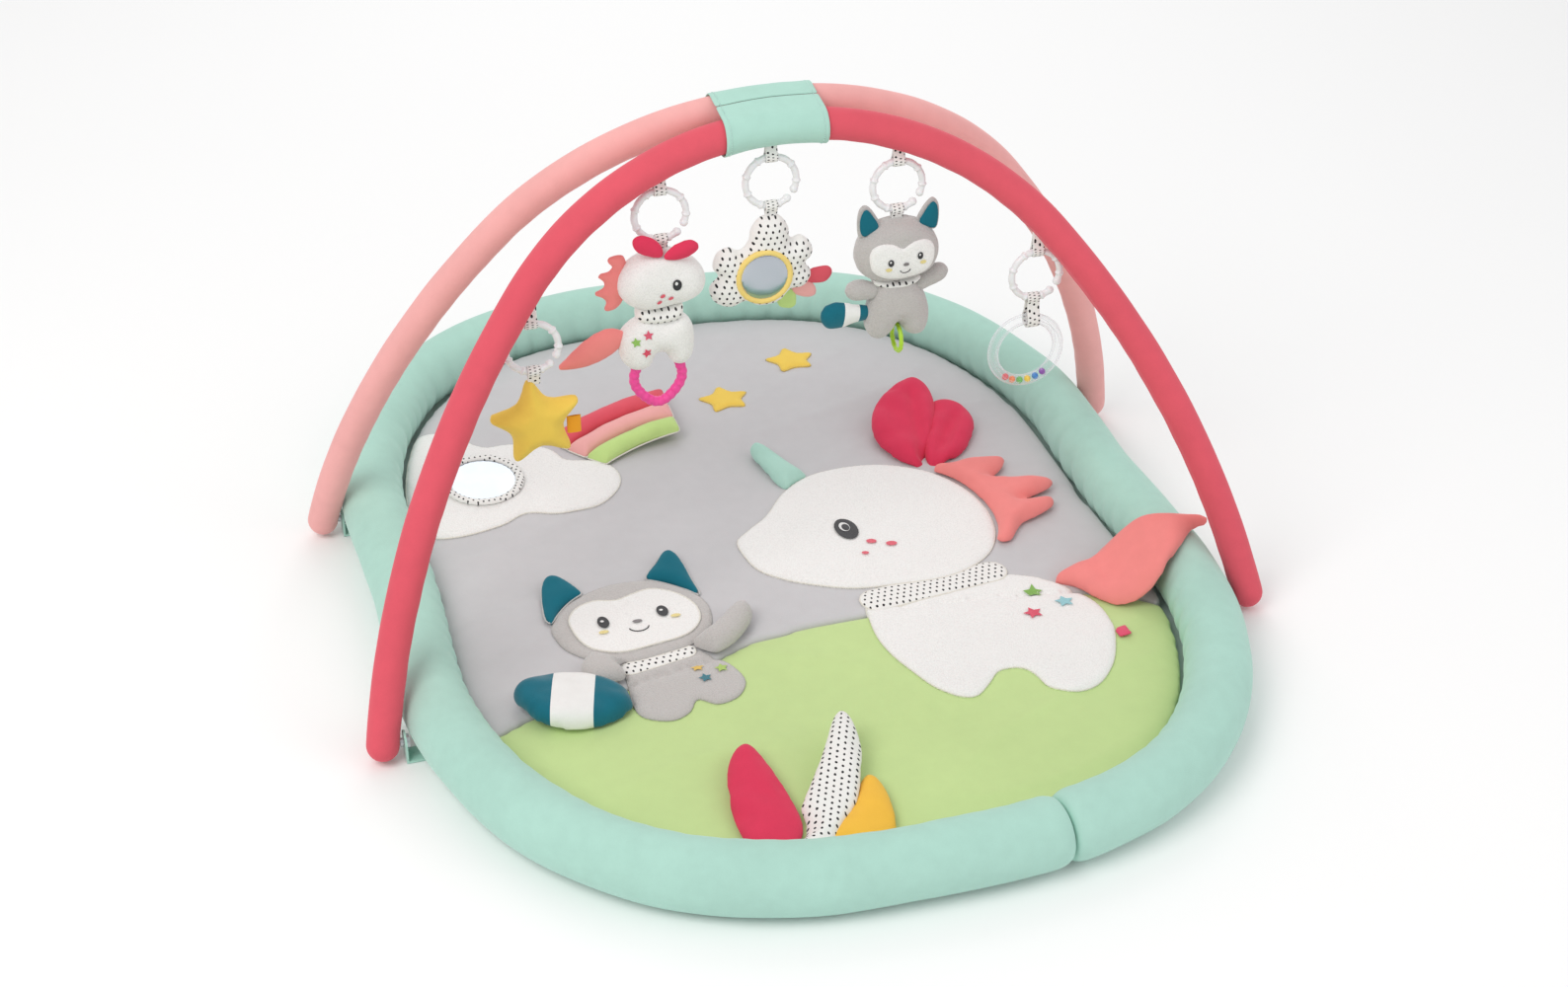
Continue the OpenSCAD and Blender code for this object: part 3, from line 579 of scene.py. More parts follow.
def lofted(name: str, rows: Sequence[Sequence[Vector]], size: Point2 = (1.0, 1.0)) -> Piece:
    """Lay a grid over rows of points; rows or ends that meet are joined.

    Args:
        name: the piece's name.
        rows: rows of equally many points each.
        size: the length and girth in metres that the UV map spans.

    Returns:
        The piece, with its normals outward.
    """
    bm = bmesh.new()
    uv = bm.loops.layers.uv.new("UVMap")
    bmesh.ops.create_grid(bm, x_segments=len(rows[0]) - 1, y_segments=len(rows) - 1, size=1.0, calc_uvs=True)
    bm.verts.ensure_lookup_table()
    flat = [p for row in rows for p in row]
    for vert, point in zip(bm.verts, flat):
        vert.co = point
    for face in bm.faces:
        for loop in face.loops:
            loop[uv].uv = (loop[uv].uv[0] * size[1], loop[uv].uv[1] * size[0])
    bmesh.ops.remove_doubles(bm, verts=bm.verts[:], dist=1e-6)
    bmesh.ops.dissolve_degenerate(bm, edges=bm.edges[:], dist=1e-7)
    bmesh.ops.recalc_face_normals(bm, faces=bm.faces[:])
    return piece_from(bm, name)


def tube(name: str, line: Sequence[Vector], radius: Union[float, Sequence[float]], sides: int = 10,
         closed: bool = False) -> Piece:
    """A round tube along a line of points.

    Args:
        name: the piece's name.
        line: the points that its middle follows.
        radius: its radius, or one for each point.
        sides: how many sides it has.
        closed: whether its last point joins its first.

    Returns:
        The piece, with rounded or joined ends.
    """
    count = len(line)
    radii = [radius] * count if isinstance(radius, float) else list(radius)
    if closed:
        ways = [(line[(i + 1) % count] - line[i - 1]).normalized() for i in range(count)]
    else:
        ways = [(line[min(i + 1, count - 1)] - line[max(i - 1, 0)]).normalized() for i in range(count)]
    side = ways[0].orthogonal().normalized()
    rings = []
    for point, way, reach in zip(line, ways, radii):
        side = (side - way * side.dot(way)).normalized()
        other = way.cross(side)
        turns = [2 * math.pi * k / sides for k in range(sides + 1)]
        rings.append([point + (side * math.cos(t) + other * math.sin(t)) * reach for t in turns])
    if closed:
        rings.append(rings[0])
    else:
        rings.insert(0, [line[0]] * (sides + 1))
        rings.append([line[-1]] * (sides + 1))
    length = sum((b - a).length for a, b in zip(line, line[1:]))
    return lofted(name, rings, (length, 2 * math.pi * max(radii)))


def rounded(points: Sequence[Point2], steps: int = 4) -> list[Point2]:
    """A smooth closed curve through a few points.

    Args:
        points: the points, in order.
        steps: how many new points each stretch gets.

    Returns:
        The curve's points.
    """
    count = len(points)
    made = []
    for i in range(count):
        a, b, c, d = (np.array(points[(i + k - 1) % count], float) for k in range(4))
        for step in range(steps):
            t = step / steps
            way = (2 * b + (c - a) * t + (2 * a - 5 * b + 4 * c - d) * t ** 2
                   + (3 * b - a - 3 * c + d) * t ** 3)
            made.append(tuple(0.5 * way))
    return made


def star_outline(reach: float, waist: float, turn: float, count: int = 5) -> list[Point2]:
    """A star's outline.

    Args:
        reach: the radius of its points.
        waist: the radius of its inner corners, as a share of reach.
        turn: the angle of its first point, in degrees.
        count: how many points it has.

    Returns:
        The outline's points.
    """
    made = []
    for i in range(2 * count):
        r = reach if i % 2 == 0 else reach * waist
        a = math.radians(turn + 180 * i / count)
        made.append((r * math.cos(a), r * math.sin(a)))
    return made


def outlines_of(node: str) -> list[list[Point2]]:
    """The outlines of each separate solid of a flat CAD node, seen from above.

    Args:
        node: the node's name.

    Returns:
        The points of each edge loop, in order, in metres; the loops run left to right.
    """
    source = bmesh.new()
    source.from_mesh(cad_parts[node].data)
    bmesh.ops.remove_doubles(source, verts=source.verts[:], dist=1e-6)
    tops = {f for f in source.faces if f.normal.z > 0.2}
    # A dict keeps the mesh's own order. A set of edges has another order in each run.
    edges = dict.fromkeys(e for e in source.edges if sum(f in tops for f in e.link_faces) == 1)
    loops = []
    while edges:
        edge = min(edges, key=lambda e: (round(e.verts[0].co.x, 6), round(e.verts[0].co.y, 6)))
        del edges[edge]
        loop = [edge.verts[0], edge.verts[1]]
        while True:
            ahead = next((e for e in loop[-1].link_edges if e in edges), None)
            if ahead is None:
                break
            del edges[ahead]
            loop.append(ahead.other_vert(loop[-1]))
        loops.append([(v.co.x, v.co.y) for v in loop[:-1]])
    source.free()
    return sorted(loops, key=lambda loop: min(p[0] for p in loop))


def outline_of(node: str) -> list[Point2]:
    """The longest outline of a flat CAD node, seen from above."""
    return max(outlines_of(node), key=girth)


def girth(loop: Sequence[Point2]) -> float:
    """The length of a closed outline."""
    p = np.array(loop)
    return float(np.linalg.norm(p - np.roll(p, -1, axis=0), axis=1).sum())


def evenly(loop: Sequence[Point2], step: float) -> list[Point2]:
    """The same closed outline, with points a step apart."""
    p = np.array([*loop, loop[0]], float)
    way = np.concatenate([[0], np.cumsum(np.linalg.norm(np.diff(p, axis=0), axis=1))])
    marks = np.linspace(0, way[-1], max(8, int(way[-1] / step)), endpoint=False)
    return list(zip(np.interp(marks, way, p[:, 0]), np.interp(marks, way, p[:, 1])))


def edge_distance(points: np.ndarray, loop: Sequence[Point2]) -> np.ndarray:
    """How far each point is from an outline.

    Args:
        points: rows of two coordinates.
        loop: the closed outline.

    Returns:
        One distance for each row.
    """
    a = np.array(loop, float)
    b = np.roll(a, -1, axis=0)
    way = b - a
    long2 = np.maximum((way ** 2).sum(1), 1e-12)
    best = np.full(len(points), 1e9)
    for start, d, l2 in zip(a, way, long2):
        t = np.clip(((points - start) @ d) / l2, 0, 1)
        best = np.minimum(best, np.hypot(*(points - start - t[:, None] * d).T))
    return best


class Facing(Enum):
    """Which way a flat soft piece faces: up from the mat, or forward on a toy."""

    UP = "up"
    FORWARD = "forward"


def plane_point(x: float, y: float, depth: float, facing: Facing) -> Vector:
    """A point from its two outline coordinates and its height towards the viewer."""
    return Vector((x, y, depth)) if facing is Facing.UP else Vector((x, -depth, y))


def slab(name: str, loop: Sequence[Point2], low: float, high: float, facing: Facing, voxel: float) -> Piece:
    """A flat slab with even quads, cut to an outline.

    Args:
        name: the piece's name.
        loop: the outline.
        low: the depth of its back.
        high: the depth of its front.
        facing: which way it faces.
        voxel: the size of its quads.

    Returns:
        The slab.
    """
    bm = bmesh.new()
    verts = [bm.verts.new(plane_point(x, y, low, facing)) for x, y in loop]
    face = bm.faces.new(verts)
    lifted = bmesh.ops.extrude_face_region(bm, geom=[face])["geom"]
    shift = plane_point(0, 0, high - low, facing)
    bmesh.ops.translate(bm, vec=shift, verts=[v for v in lifted if isinstance(v, bmesh.types.BMVert)])
    bmesh.ops.triangulate(bm, faces=bm.faces[:])
    bmesh.ops.recalc_face_normals(bm, faces=bm.faces[:])
    made = piece_from(bm, name)
    grain = made.modifiers.new("grain", "REMESH")
    grain.mode = "VOXEL"
    grain.voxel_size = voxel
    return settled(made)


Surface = Callable[[np.ndarray], np.ndarray]


class Under:
    """The top surface of pieces that others are sewn onto."""

    def __init__(self, pieces: Sequence[Piece], facing: Facing, otherwise: float) -> None:
        """Keep what the rays need: the pieces' shapes, the way they face and a depth where they end."""
        graph = bpy.context.evaluated_depsgraph_get()
        self.trees = [BVHTree.FromObject(p, graph) for p in pieces]
        self.facing = facing
        self.otherwise = otherwise

    def depth(self, x: float, y: float) -> float:
        """The depth of the surface at one place."""
        start = plane_point(x, y, 2.0, self.facing)
        way = plane_point(0, 0, -1.0, self.facing)
        found = [hit for hit in (tree.ray_cast(start, way)[0] for tree in self.trees) if hit]
        if not found:
            return self.otherwise
        return max(h.z if self.facing is Facing.UP else -h.y for h in found)

    def __call__(self, points: np.ndarray) -> np.ndarray:
        """The depth of the surface at each row of two coordinates."""
        return np.array([self.depth(x, y) for x, y in points])


@dataclass
class SoftPiece:
    """A stuffed or quilted piece cut to an outline, thick in its middle and thin at its seam."""

    name: str
    loop: Sequence[Point2]
    thickness: float
    facing: Facing = Facing.UP
    under: Optional[Surface] = None
    middle: float = 0.0
    shoulder: float = 12 * MM
    seam: float = 1.2 * MM
    voxel: float = 4 * MM
    crumple: float = 0.0
    sunk: float = 0.0
    lift: Optional[Callable[[np.ndarray], np.ndarray]] = None
    piece: Optional[Piece] = field(default=None, init=False)

    def build(self) -> Piece:
        """Cut, grain and shape the piece.

        Returns:
            The piece, before any swelling.
        """
        stand_in = 3.2 * self.voxel
        made = slab(self.name, self.loop, 0.0, stand_in, self.facing, self.voxel)
        co = coordinates(made)
        flat, depth = self.split(co)
        share = np.clip(depth / stand_in, 0, 1)
        inward = np.clip(edge_distance(flat, self.loop) / self.shoulder, 0, 1)
        full = self.seam + (self.thickness - self.seam) * np.sqrt(1 - (1 - inward) ** 2)
        if self.crumple:
            folds = [noise.noise(Vector((x * 38, y * 38, 3.0))) for x, y in flat]
            full = full * (1 + self.crumple * np.array(folds))
        if self.under is not None:
            depth = self.under(flat) - self.sunk + share * (full + self.sunk)
        else:
            depth = self.middle + (share - 0.5) * full
        if self.lift is not None:
            depth = depth + self.lift(flat)
        move_to(made, self.joined(flat, depth))
        self.piece = made
        return made

    def split(self, co: np.ndarray) -> tuple[np.ndarray, np.ndarray]:
        """Outline coordinates and depths of some vertices."""
        if self.facing is Facing.UP:
            return co[:, :2], co[:, 2]
        return co[:, [0, 2]], -co[:, 1]

    def joined(self, flat: np.ndarray, depth: np.ndarray) -> np.ndarray:
        """Vertices from outline coordinates and depths."""
        if self.facing is Facing.UP:
            return np.column_stack([flat, depth])
        return np.column_stack([flat[:, 0], -depth, flat[:, 1]])


def swell(parts: Sequence[Piece], cap: float, pressure: float = 4.0, frames: int = 20) -> None:
    """Swell stuffed pieces by cloth simulation, all at once, and keep the result.

    Args:
        parts: the pieces.
        cap: how far a vertex may move, in metres.
        pressure: the air pressure inside.
        frames: how many frames it runs for.
    """
    scene = bpy.context.scene
    for piece in parts:
        cloth = piece.modifiers.new("swell", "CLOTH")
        cloth.settings.quality = 4
        cloth.settings.use_pressure = True
        cloth.settings.uniform_pressure_force = pressure
        cloth.settings.effector_weights.gravity = 0.0
        cloth.settings.tension_stiffness = 12.0
        cloth.settings.compression_stiffness = 12.0
        cloth.settings.bending_stiffness = 0.4
        cloth.point_cache.frame_start = 1
        cloth.point_cache.frame_end = frames
    for number in range(1, frames + 1):
        scene.frame_set(number)
    graph = bpy.context.evaluated_depsgraph_get()
    for piece in parts:
        rest = coordinates(piece)
        swollen = piece.evaluated_get(graph).to_mesh()
        co = np.zeros(len(swollen.vertices) * 3)
        swollen.vertices.foreach_get("co", co)
        moved = co.reshape(-1, 3) - rest
        far = np.maximum(np.linalg.norm(moved, axis=1), 1e-9)
        piece.modifiers.clear()
        move_to(piece, rest + moved * np.minimum(1.0, cap / far)[:, None])
    scene.frame_set(1)


def cord_line(loop: Sequence[Point2], under: Surface, facing: Facing, above: float,
              step: float) -> list[Vector]:
    """A closed line of points along an outline, lying on a surface."""
    points = np.array(evenly(loop, step))
    return [plane_point(x, y, d + above, facing) for (x, y), d in zip(points, under(points))]


def inset_loop(loop: Sequence[Point2], by: float) -> list[Point2]:
    """An outline moved inwards, along its own normals."""
    p = np.array(loop, float)
    way = np.roll(p, -1, axis=0) - np.roll(p, 1, axis=0)
    way /= np.maximum(np.linalg.norm(way, axis=1), 1e-9)[:, None]
    area = np.sum(p[:, 0] * np.roll(p[:, 1], -1) - p[:, 1] * np.roll(p[:, 0], -1))
    inward = np.column_stack([-way[:, 1], way[:, 0]]) * (1 if area > 0 else -1)
    return [tuple(q) for q in p + inward * by]


def spot(name: str, loop: Sequence[Point2], under: Surface, facing: Facing,
         raised: float = 0.9 * MM) -> Piece:
    """A small embroidered shape that follows the surface it is sewn on.

    Args:
        name: the piece's name.
        loop: its outline.
        under: the surface.
        facing: which way it faces.
        raised: how far its thread stands out.

    Returns:
        The piece.
    """
    bm = bmesh.new()
    face = bm.faces.new([bm.verts.new(plane_point(x, y, 0, facing)) for x, y in loop])
    bmesh.ops.inset_region(bm, faces=[face], thickness=0.5 * MM, use_even_offset=True)
    tops = set(face.verts) | set(bmesh.ops.poke(bm, faces=[face])["verts"])
    for vert in bm.verts:
        x, y = vert.co.x, (vert.co.y if facing is Facing.UP else vert.co.z)
        depth = under(np.array([[x, y]]))[0]
        vert.co = plane_point(x, y, depth + (raised if vert in tops else -0.3 * MM), facing)
    bmesh.ops.recalc_face_normals(bm, faces=bm.faces[:])
    if sum(f.normal.z if facing is Facing.UP else -f.normal.y for f in bm.faces) < 0:
        bmesh.ops.reverse_faces(bm, faces=bm.faces[:])
    return piece_from(bm, name)


def oval(x: float, y: float, rx: float, ry: float, turn: float = 0.0, count: int = 20) -> list[Point2]:
    """An ellipse's outline, in metres.

    Args:
        x: the middle's first coordinate.
        y: the middle's second coordinate.
        rx: half its width.
        ry: half its height.
        turn: its turn, in degrees.
        count: how many points it has.

    Returns:
        The outline's points.
    """
    c, s = math.cos(math.radians(turn)), math.sin(math.radians(turn))
    made = []
    for i in range(count):
        a = 2 * math.pi * i / count
        u, v = rx * math.cos(a), ry * math.sin(a)
        made.append((x + u * c - v * s, y + u * s + v * c))
    return made


def moved_outline(points: Sequence[Point2], x: float, y: float, scale: float = MM) -> list[Point2]:
    """An outline given in millimetres, moved to a place in metres."""
    return [(x + u * scale, y + v * scale) for u, v in points]


# ---------------------------------------------------------------- mat


@dataclass
class MatShape:
    """The mat's outline: a rounded oblong, drawn in a little at its waist."""

    width: float = 860 * MM
    length: float = 1130 * MM
    power: float = 2.7
    waist: float = 16 * MM
    waist_reach: float = 150 * MM
    rim_radius: float = 33 * MM
    pad_top: float = 22 * MM
    backing_top: float = 2 * MM

    def point(self, degrees: float, inset: float) -> tuple[float, float]:
        """A point of the outline.

        Args:
            degrees: the angle that names the point.
            inset: how far it is moved in.

        Returns:
            Its place on the floor.
        """
        a = math.radians(degrees)
        share = 2 / self.power
        y = (self.length / 2 - inset) * math.copysign(abs(math.sin(a)) ** share, math.sin(a))
        drawn = self.waist * math.exp(-(y / self.waist_reach) ** 2)
        x = (self.width / 2 - inset - drawn) * math.copysign(abs(math.cos(a)) ** share, math.cos(a))
        return x, y

    def line(self, start: float, end: float, step: float) -> list[Vector]:
        """Evenly spaced points along the middle of the rim.

        Args:
            start: the first angle in degrees.
            end: the last angle.
            step: how far apart the points are.

        Returns:
            The points, at the height of the rim's middle.
        """
        angles = np.linspace(start, end, 1500)
        raw = np.array([self.point(a, self.rim_radius) for a in angles])
        way = np.concatenate([[0], np.cumsum(np.linalg.norm(np.diff(raw, axis=0), axis=1))])
        marks = np.linspace(0, way[-1], int(way[-1] / step) + 1)
        xs, ys = (np.interp(marks, way, raw[:, k]) for k in (0, 1))
        return [Vector((x, y, self.rim_radius)) for x, y in zip(xs, ys)]


@dataclass
class Rim:
    """The stuffed rim: two lengths of mint velour, gathered along the seam with the mat."""

    shape: MatShape
    front_seam: float = -80.0
    back_seam: float = 90.0
    step: float = 5 * MM
    sides: int = 30
    seam_length: float = 7 * MM
    seam_depth: float = 4 * MM
    pucker: float = 4.6 * MM
    pucker_pitch: float = 29 * MM

    def build(self) -> list[Piece]:
        """Build both halves.

        Returns:
            The left and the right half.
        """
        left = self.half("rim_cover_left", self.back_seam, self.front_seam + 360)
        right = self.half("rim_cover_right", self.front_seam, self.back_seam)
        DRESSER.fit(left, "root", Cloths.MINT, "mint_velour", "rim_left", "rim_filling", fill=0.8)
        DRESSER.fit(right, "root", Cloths.MINT, "mint_velour", "rim_right", fill=0.8)
        return [left, right]

    def half(self, name: str, start: float, end: float) -> Piece:
        """One half of the rim.

        Args:
            name: the piece's name.
            start: the angle of its first seam.
            end: the angle of its last seam.

        Returns:
            The piece.
        """
        line = self.shape.line(start, end, self.step)
        total = self.step * (len(line) - 1)
        rows = [[line[0]] * (self.sides + 1)]
        for i, middle in enumerate(line):
            ahead, behind = line[min(i + 1, len(line) - 1)], line[max(i - 1, 0)]
            way = (ahead - behind).normalized()
            out = Vector((way.y, -way.x, 0))
            along = self.step * i
            to_end = min(along, total - along)
            nip = self.seam_depth * math.exp(-(to_end / self.seam_length) ** 2)
            rows.append([self.skin(middle, out, 2 * math.pi * k / self.sides, along, nip)
                         for k in range(self.sides + 1)])
        rows.append([line[-1]] * (self.sides + 1))
        return subdivided(lofted(name, rows, (total, 2 * math.pi * self.shape.rim_radius)))

    def skin(self, middle: Vector, out: Vector, angle: float, along: float, nip: float) -> Vector:
        """A point of the rim's cover.

        Args:
            middle: the middle of the rim there.
            out: the way to the mat's outside.
            angle: the angle round the rim, from outside over the top.
            along: the way along the rim.
            nip: how far a cross seam draws it in.

        Returns:
            The point.
        """
        inner = max(0.0, -math.cos(angle)) ** 3
        near_seam = math.exp(-((math.degrees(angle) % 360 - 190) / 44) ** 2)
        place = middle + Vector((0, 0.05 * math.cos(angle), 0.05 * math.sin(angle)))
        wander = noise.noise(place * 9.0) * 1.1
        fold = math.sin(2 * math.pi * along / self.pucker_pitch + wander * 3 + 1.4 * math.sin(along * 31))
        uneven = 0.55 + 0.6 * noise.noise(place * 14.0 + Vector((5, 1, 2)))
        depth = self.pucker * near_seam * max(0.0, fold) * uneven
        soft = 1.5 * MM * noise.noise(place * 14.0) + 0.6 * MM * inner * noise.noise(place * 60.0)
        reach = self.shape.rim_radius - nip - depth + soft
        point = middle + out * (reach * math.cos(angle)) + Vector((0, 0, reach * math.sin(angle)))
        point.z = max(point.z, 0.6 * MM)
        return point


@dataclass
class MatTop:
    """The mat's top: a grey sky panel and a green hill panel over the wadding, seamed together."""

    shape: MatShape
    dome: float = 3.0 * MM
    dome_reach: float = 60 * MM
    seam_depth: float = 3.4 * MM
    seam_reach: float = 7 * MM
    crease: float = 3.0 * MM
    voxel: float = 7 * MM

    def build(self) -> list[Piece]:
        """Build both panels.

        Returns:
            The sky panel and the hill panel.
        """
        sky = self.panel("sky_cloth", "sky_panel")
        hill = self.panel("hill_cloth", "hill_panel")
        DRESSER.fit(sky, "root", Cloths.GREY, "grey_velour", "sky_panel", "mat_wadding", fill=0.35)
        DRESSER.fit(hill, "root", Cloths.GREEN, "green_velour", "hill_panel", fill=0.35)
        return [sky, hill]

    def panel(self, name: str, node: str) -> Piece:
        """One quilted panel.

        Args:
            name: the piece's name.
            node: the CAD node whose outline it has.

        Returns:
            The piece.
        """
        loop = outline_of(node)
        low = self.shape.backing_top
        thick = self.shape.pad_top - low
        made = slab(name, loop, low, self.shape.pad_top, Facing.UP, self.voxel)
        co = coordinates(made)
        share = np.clip((co[:, 2] - low) / thick, 0, 1)
        inward = edge_distance(co[:, :2], loop)
        risen = self.dome * (1 - np.exp(-inward / self.dome_reach))
        dipped = self.seam_depth * np.exp(-inward / self.seam_reach)
        creased = np.array([self.fold(x, y) for x, y in co[:, :2]]) * np.clip(inward / (30 * MM), 0, 1)
        co[:, 2] = low + share * (thick + risen - dipped + creased)
        move_to(made, co)
        return subdivided(made)

    def fold(self, x: float, y: float) -> float:
        """The height of the long soft folds at one place."""
        slant = Vector((x * 3.2 + y * 1.5, y * 9.5 - x * 4.0, 0.7))
        long = 1 - abs(noise.noise(slant)) * 3.2
        broad = noise.noise(Vector((x * 5, y * 5, 4.2)))
        fine = noise.noise(Vector((x * 24 + y * 6, y * 34 - x * 9, 9.1)))
        return self.crease * (0.75 * max(0.0, long) ** 3 + 0.45 * broad + 0.22 * fine - 0.25)


@dataclass
class Patches:
    """What is sewn flat on the mat: the cloud and its mirror, the stars, and the two animals' bodies."""

    top: Sequence[Piece]
    otherwise: float = 22 * MM
    quilt: float = 4.2 * MM
    face_lift: float = 2.2 * MM

    def __post_init__(self) -> None:
        """Work out the surface that the patches lie on."""
        self.under = Under(self.top, Facing.UP, self.otherwise)
        self.sewn: dict[str, Piece] = {}

    def patch(self, name: str, loop: Sequence[Point2], finish: Finish, slot: str, *nodes: str,
              under: Optional[Surface] = None, edging: Optional[Finish] = Cloths.EDGE,
              thickness: float = 4.2 * MM, voxel: float = 3.5 * MM) -> Piece:
        """Sew one patch on, with its edging.

        Args:
            name: the piece's name.
            loop: its outline.
            finish: what it is made of.
            slot: the record's material slot.
            nodes: the CAD nodes that it stands for.
            under: the surface it lies on, if not the mat.
            edging: the thread of its edging, or None.
            thickness: how far its middle stands out.
            voxel: the size of its quads.

        Returns:
            The patch.
        """
        surface = under or self.under
        cut = SoftPiece(name, loop, thickness, under=surface, shoulder=9 * MM, seam=0.9 * MM, voxel=voxel,
                        sunk=2 * MM, crumple=0.10)
        made = subdivided(cut.build())
        DRESSER.fit(made, "root", finish, slot, *nodes, fill=0.2)
        self.sewn[name] = made
        if edging is not None:
            line = cord_line(inset_loop(evenly(loop, 4 * MM), 0.7 * MM), surface, Facing.UP, 1.0 * MM,
                             3.4 * MM)
            border = tube(f"{name}_edging", line, [(1.15 if i % 2 else 0.85) * MM for i in range(len(line))],
                          6, True)
            DRESSER.fit(border, "root", edging, slot)
        return made

    def build(self) -> None:
        """Build every flat patch."""
        self.patch("cloud_applique", outline_of("cloud_patch"), Cloths.WHITE, "white_fleece", "cloud_patch")
        for number, loop in enumerate(outlines_of("star_patches")):
            nodes = ("star_patches",) if number == 0 else ()
            self.patch(f"star_applique_{number + 1}", loop, Cloths.YELLOW, "yellow_velour", *nodes,
                       edging=Thread("yellow_edging", (240, 204, 96)))
        self.patch("unicorn_head_applique", outline_of("unicorn_head"), Cloths.WHITE, "white_fleece",
                   "unicorn_head")
        self.patch("unicorn_body_applique", outline_of("unicorn_body"), Cloths.WHITE, "white_fleece",
                   "unicorn_body")
        self.patch("unicorn_neckerchief", outline_of("unicorn_neck_band"), Cloths.DOTS_FLAT, "dotted_cotton",
                   "unicorn_neck_band", thickness=3.4 * MM, voxel=3 * MM)
        grey_edge = Thread("grey_edging", (186, 182, 179))
        self.patch("raccoon_head_applique", outline_of("raccoon_head"), Cloths.GREY_FLEECE, "grey_fleece",
                   "raccoon_head", edging=grey_edge)
        head = Under([self.sewn["raccoon_head_applique"]], Facing.UP, self.otherwise)
        self.patch("raccoon_face_applique", outline_of("raccoon_face"), Cloths.WHITE, "white_fleece",
                   "raccoon_face", under=head, thickness=self.face_lift, voxel=3 * MM)
        self.patch("raccoon_body_applique", outline_of("raccoon_body"), Cloths.GREY_FLEECE, "grey_fleece",
                   "raccoon_body", edging=grey_edge)
        self.patch("raccoon_neckerchief", outline_of("raccoon_neck_band"), Cloths.DOTS_FLAT, "dotted_cotton",
                   "raccoon_neck_band", thickness=3 * MM, voxel=2.5 * MM)
        self.mirror()
        self.unicorn_face()
        self.raccoon_face()

    def mirror(self) -> None:
        """The cloud's mirror and its dotted binding."""
        low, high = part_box("mat_mirror")
        x, y = (low.x + high.x) / 2, (low.y + high.y) / 2
        rx, ry = (high.x - low.x) / 2, (high.y - low.y) / 2
        cloud = Under([self.sewn["cloud_applique"]], Facing.UP, self.otherwise)
        level = cloud.depth(x, y) + 1.0 * MM
        film = SoftPiece("mat_mirror_film", oval(x, y, rx, ry, count=48), 1.4 * MM, middle=level,
                         seam=1.0 * MM, voxel=3 * MM, crumple=0.15)
        made = subdivided(film.build())
        DRESSER.fit(made, "root", MirrorFilm("mat_mirror_film"), "mirror_film", "mat_mirror")
        line = [Vector((u, v, level + 0.8 * MM)) for u, v in oval(x, y, rx + 2 * MM, ry + 2 * MM, count=96)]
        wide = [(4.9 + 0.35 * math.sin(i * 2.1)) * MM for i in range(96)]
        binding = tube("mat_mirror_binding", line, wide, 12, True)
        co = coordinates(binding)
        co[:, 2] = level + 0.8 * MM + (co[:, 2] - level - 0.8 * MM) * 0.55
        move_to(binding, co)
        DRESSER.fit(binding, "root", DottedCotton("dotted_binding", Ground.FLAT, pitch=6 * MM),
                    "dotted_cotton", "mirror_binding", fill=0.5)

    def stitch(self, name: str, loop: Sequence[Point2], on: str, thread: Finish, slot: str,
               raised: float = 1.5 * MM) -> None:
        """Embroider one shape on a patch."""
        under = Under([self.sewn[on]], Facing.UP, self.otherwise)
        DRESSER.fit(spot(name, loop, under, Facing.UP, raised), "root", thread, slot)

    def unicorn_face(self) -> None:
        """The unicorn's eye, its cheek dots and the three small stars on its body."""
        head, body = "unicorn_head_applique", "unicorn_body_applique"
        eye = (81 * MM, -6 * MM)
        self.stitch("unicorn_eye", oval(*eye, 12 * MM, 20 * MM), head, Cloths.INK, "white_fleece")
        self.stitch("unicorn_eye_ring", oval(eye[0] - 1 * MM, eye[1] + 3.5 * MM, 5.6 * MM, 8.8 * MM), head,
                    Thread("white_thread", (244, 244, 242)), "white_fleece", 2.0 * MM)
        self.stitch("unicorn_pupil", oval(eye[0] - 0.2 * MM, eye[1] + 2 * MM, 4 * MM, 6.2 * MM), head,
                    Cloths.INK, "white_fleece", 2.4 * MM)
        rosy = Thread("rosy_thread", (236, 92, 112))
        cheeks = ((99, -35, 5.4, 3.8), (118, -44, 5.8, 4.0), (86, -54, 3.8, 2.6))
        for number, (x, y, rx, ry) in enumerate(cheeks):
            self.stitch(f"unicorn_cheek_{number + 1}", oval(x * MM, y * MM, rx * MM, ry * MM, -12), head,
                        rosy, "coral_velour")
        stars = ((228, -165, (140, 190, 90)), (250, -193, (150, 212, 220)), (212, -204, (230, 70, 100)))
        for number, (x, y, color) in enumerate(stars):
            loop = [(x * MM + u, y * MM + v) for u, v in star_outline(10.5 * MM, 0.5, 80 + 9 * number)]
            self.stitch(f"unicorn_star_{number + 1}", loop, body,
                        Thread(f"unicorn_star_thread_{number + 1}", color), "yellow_velour")

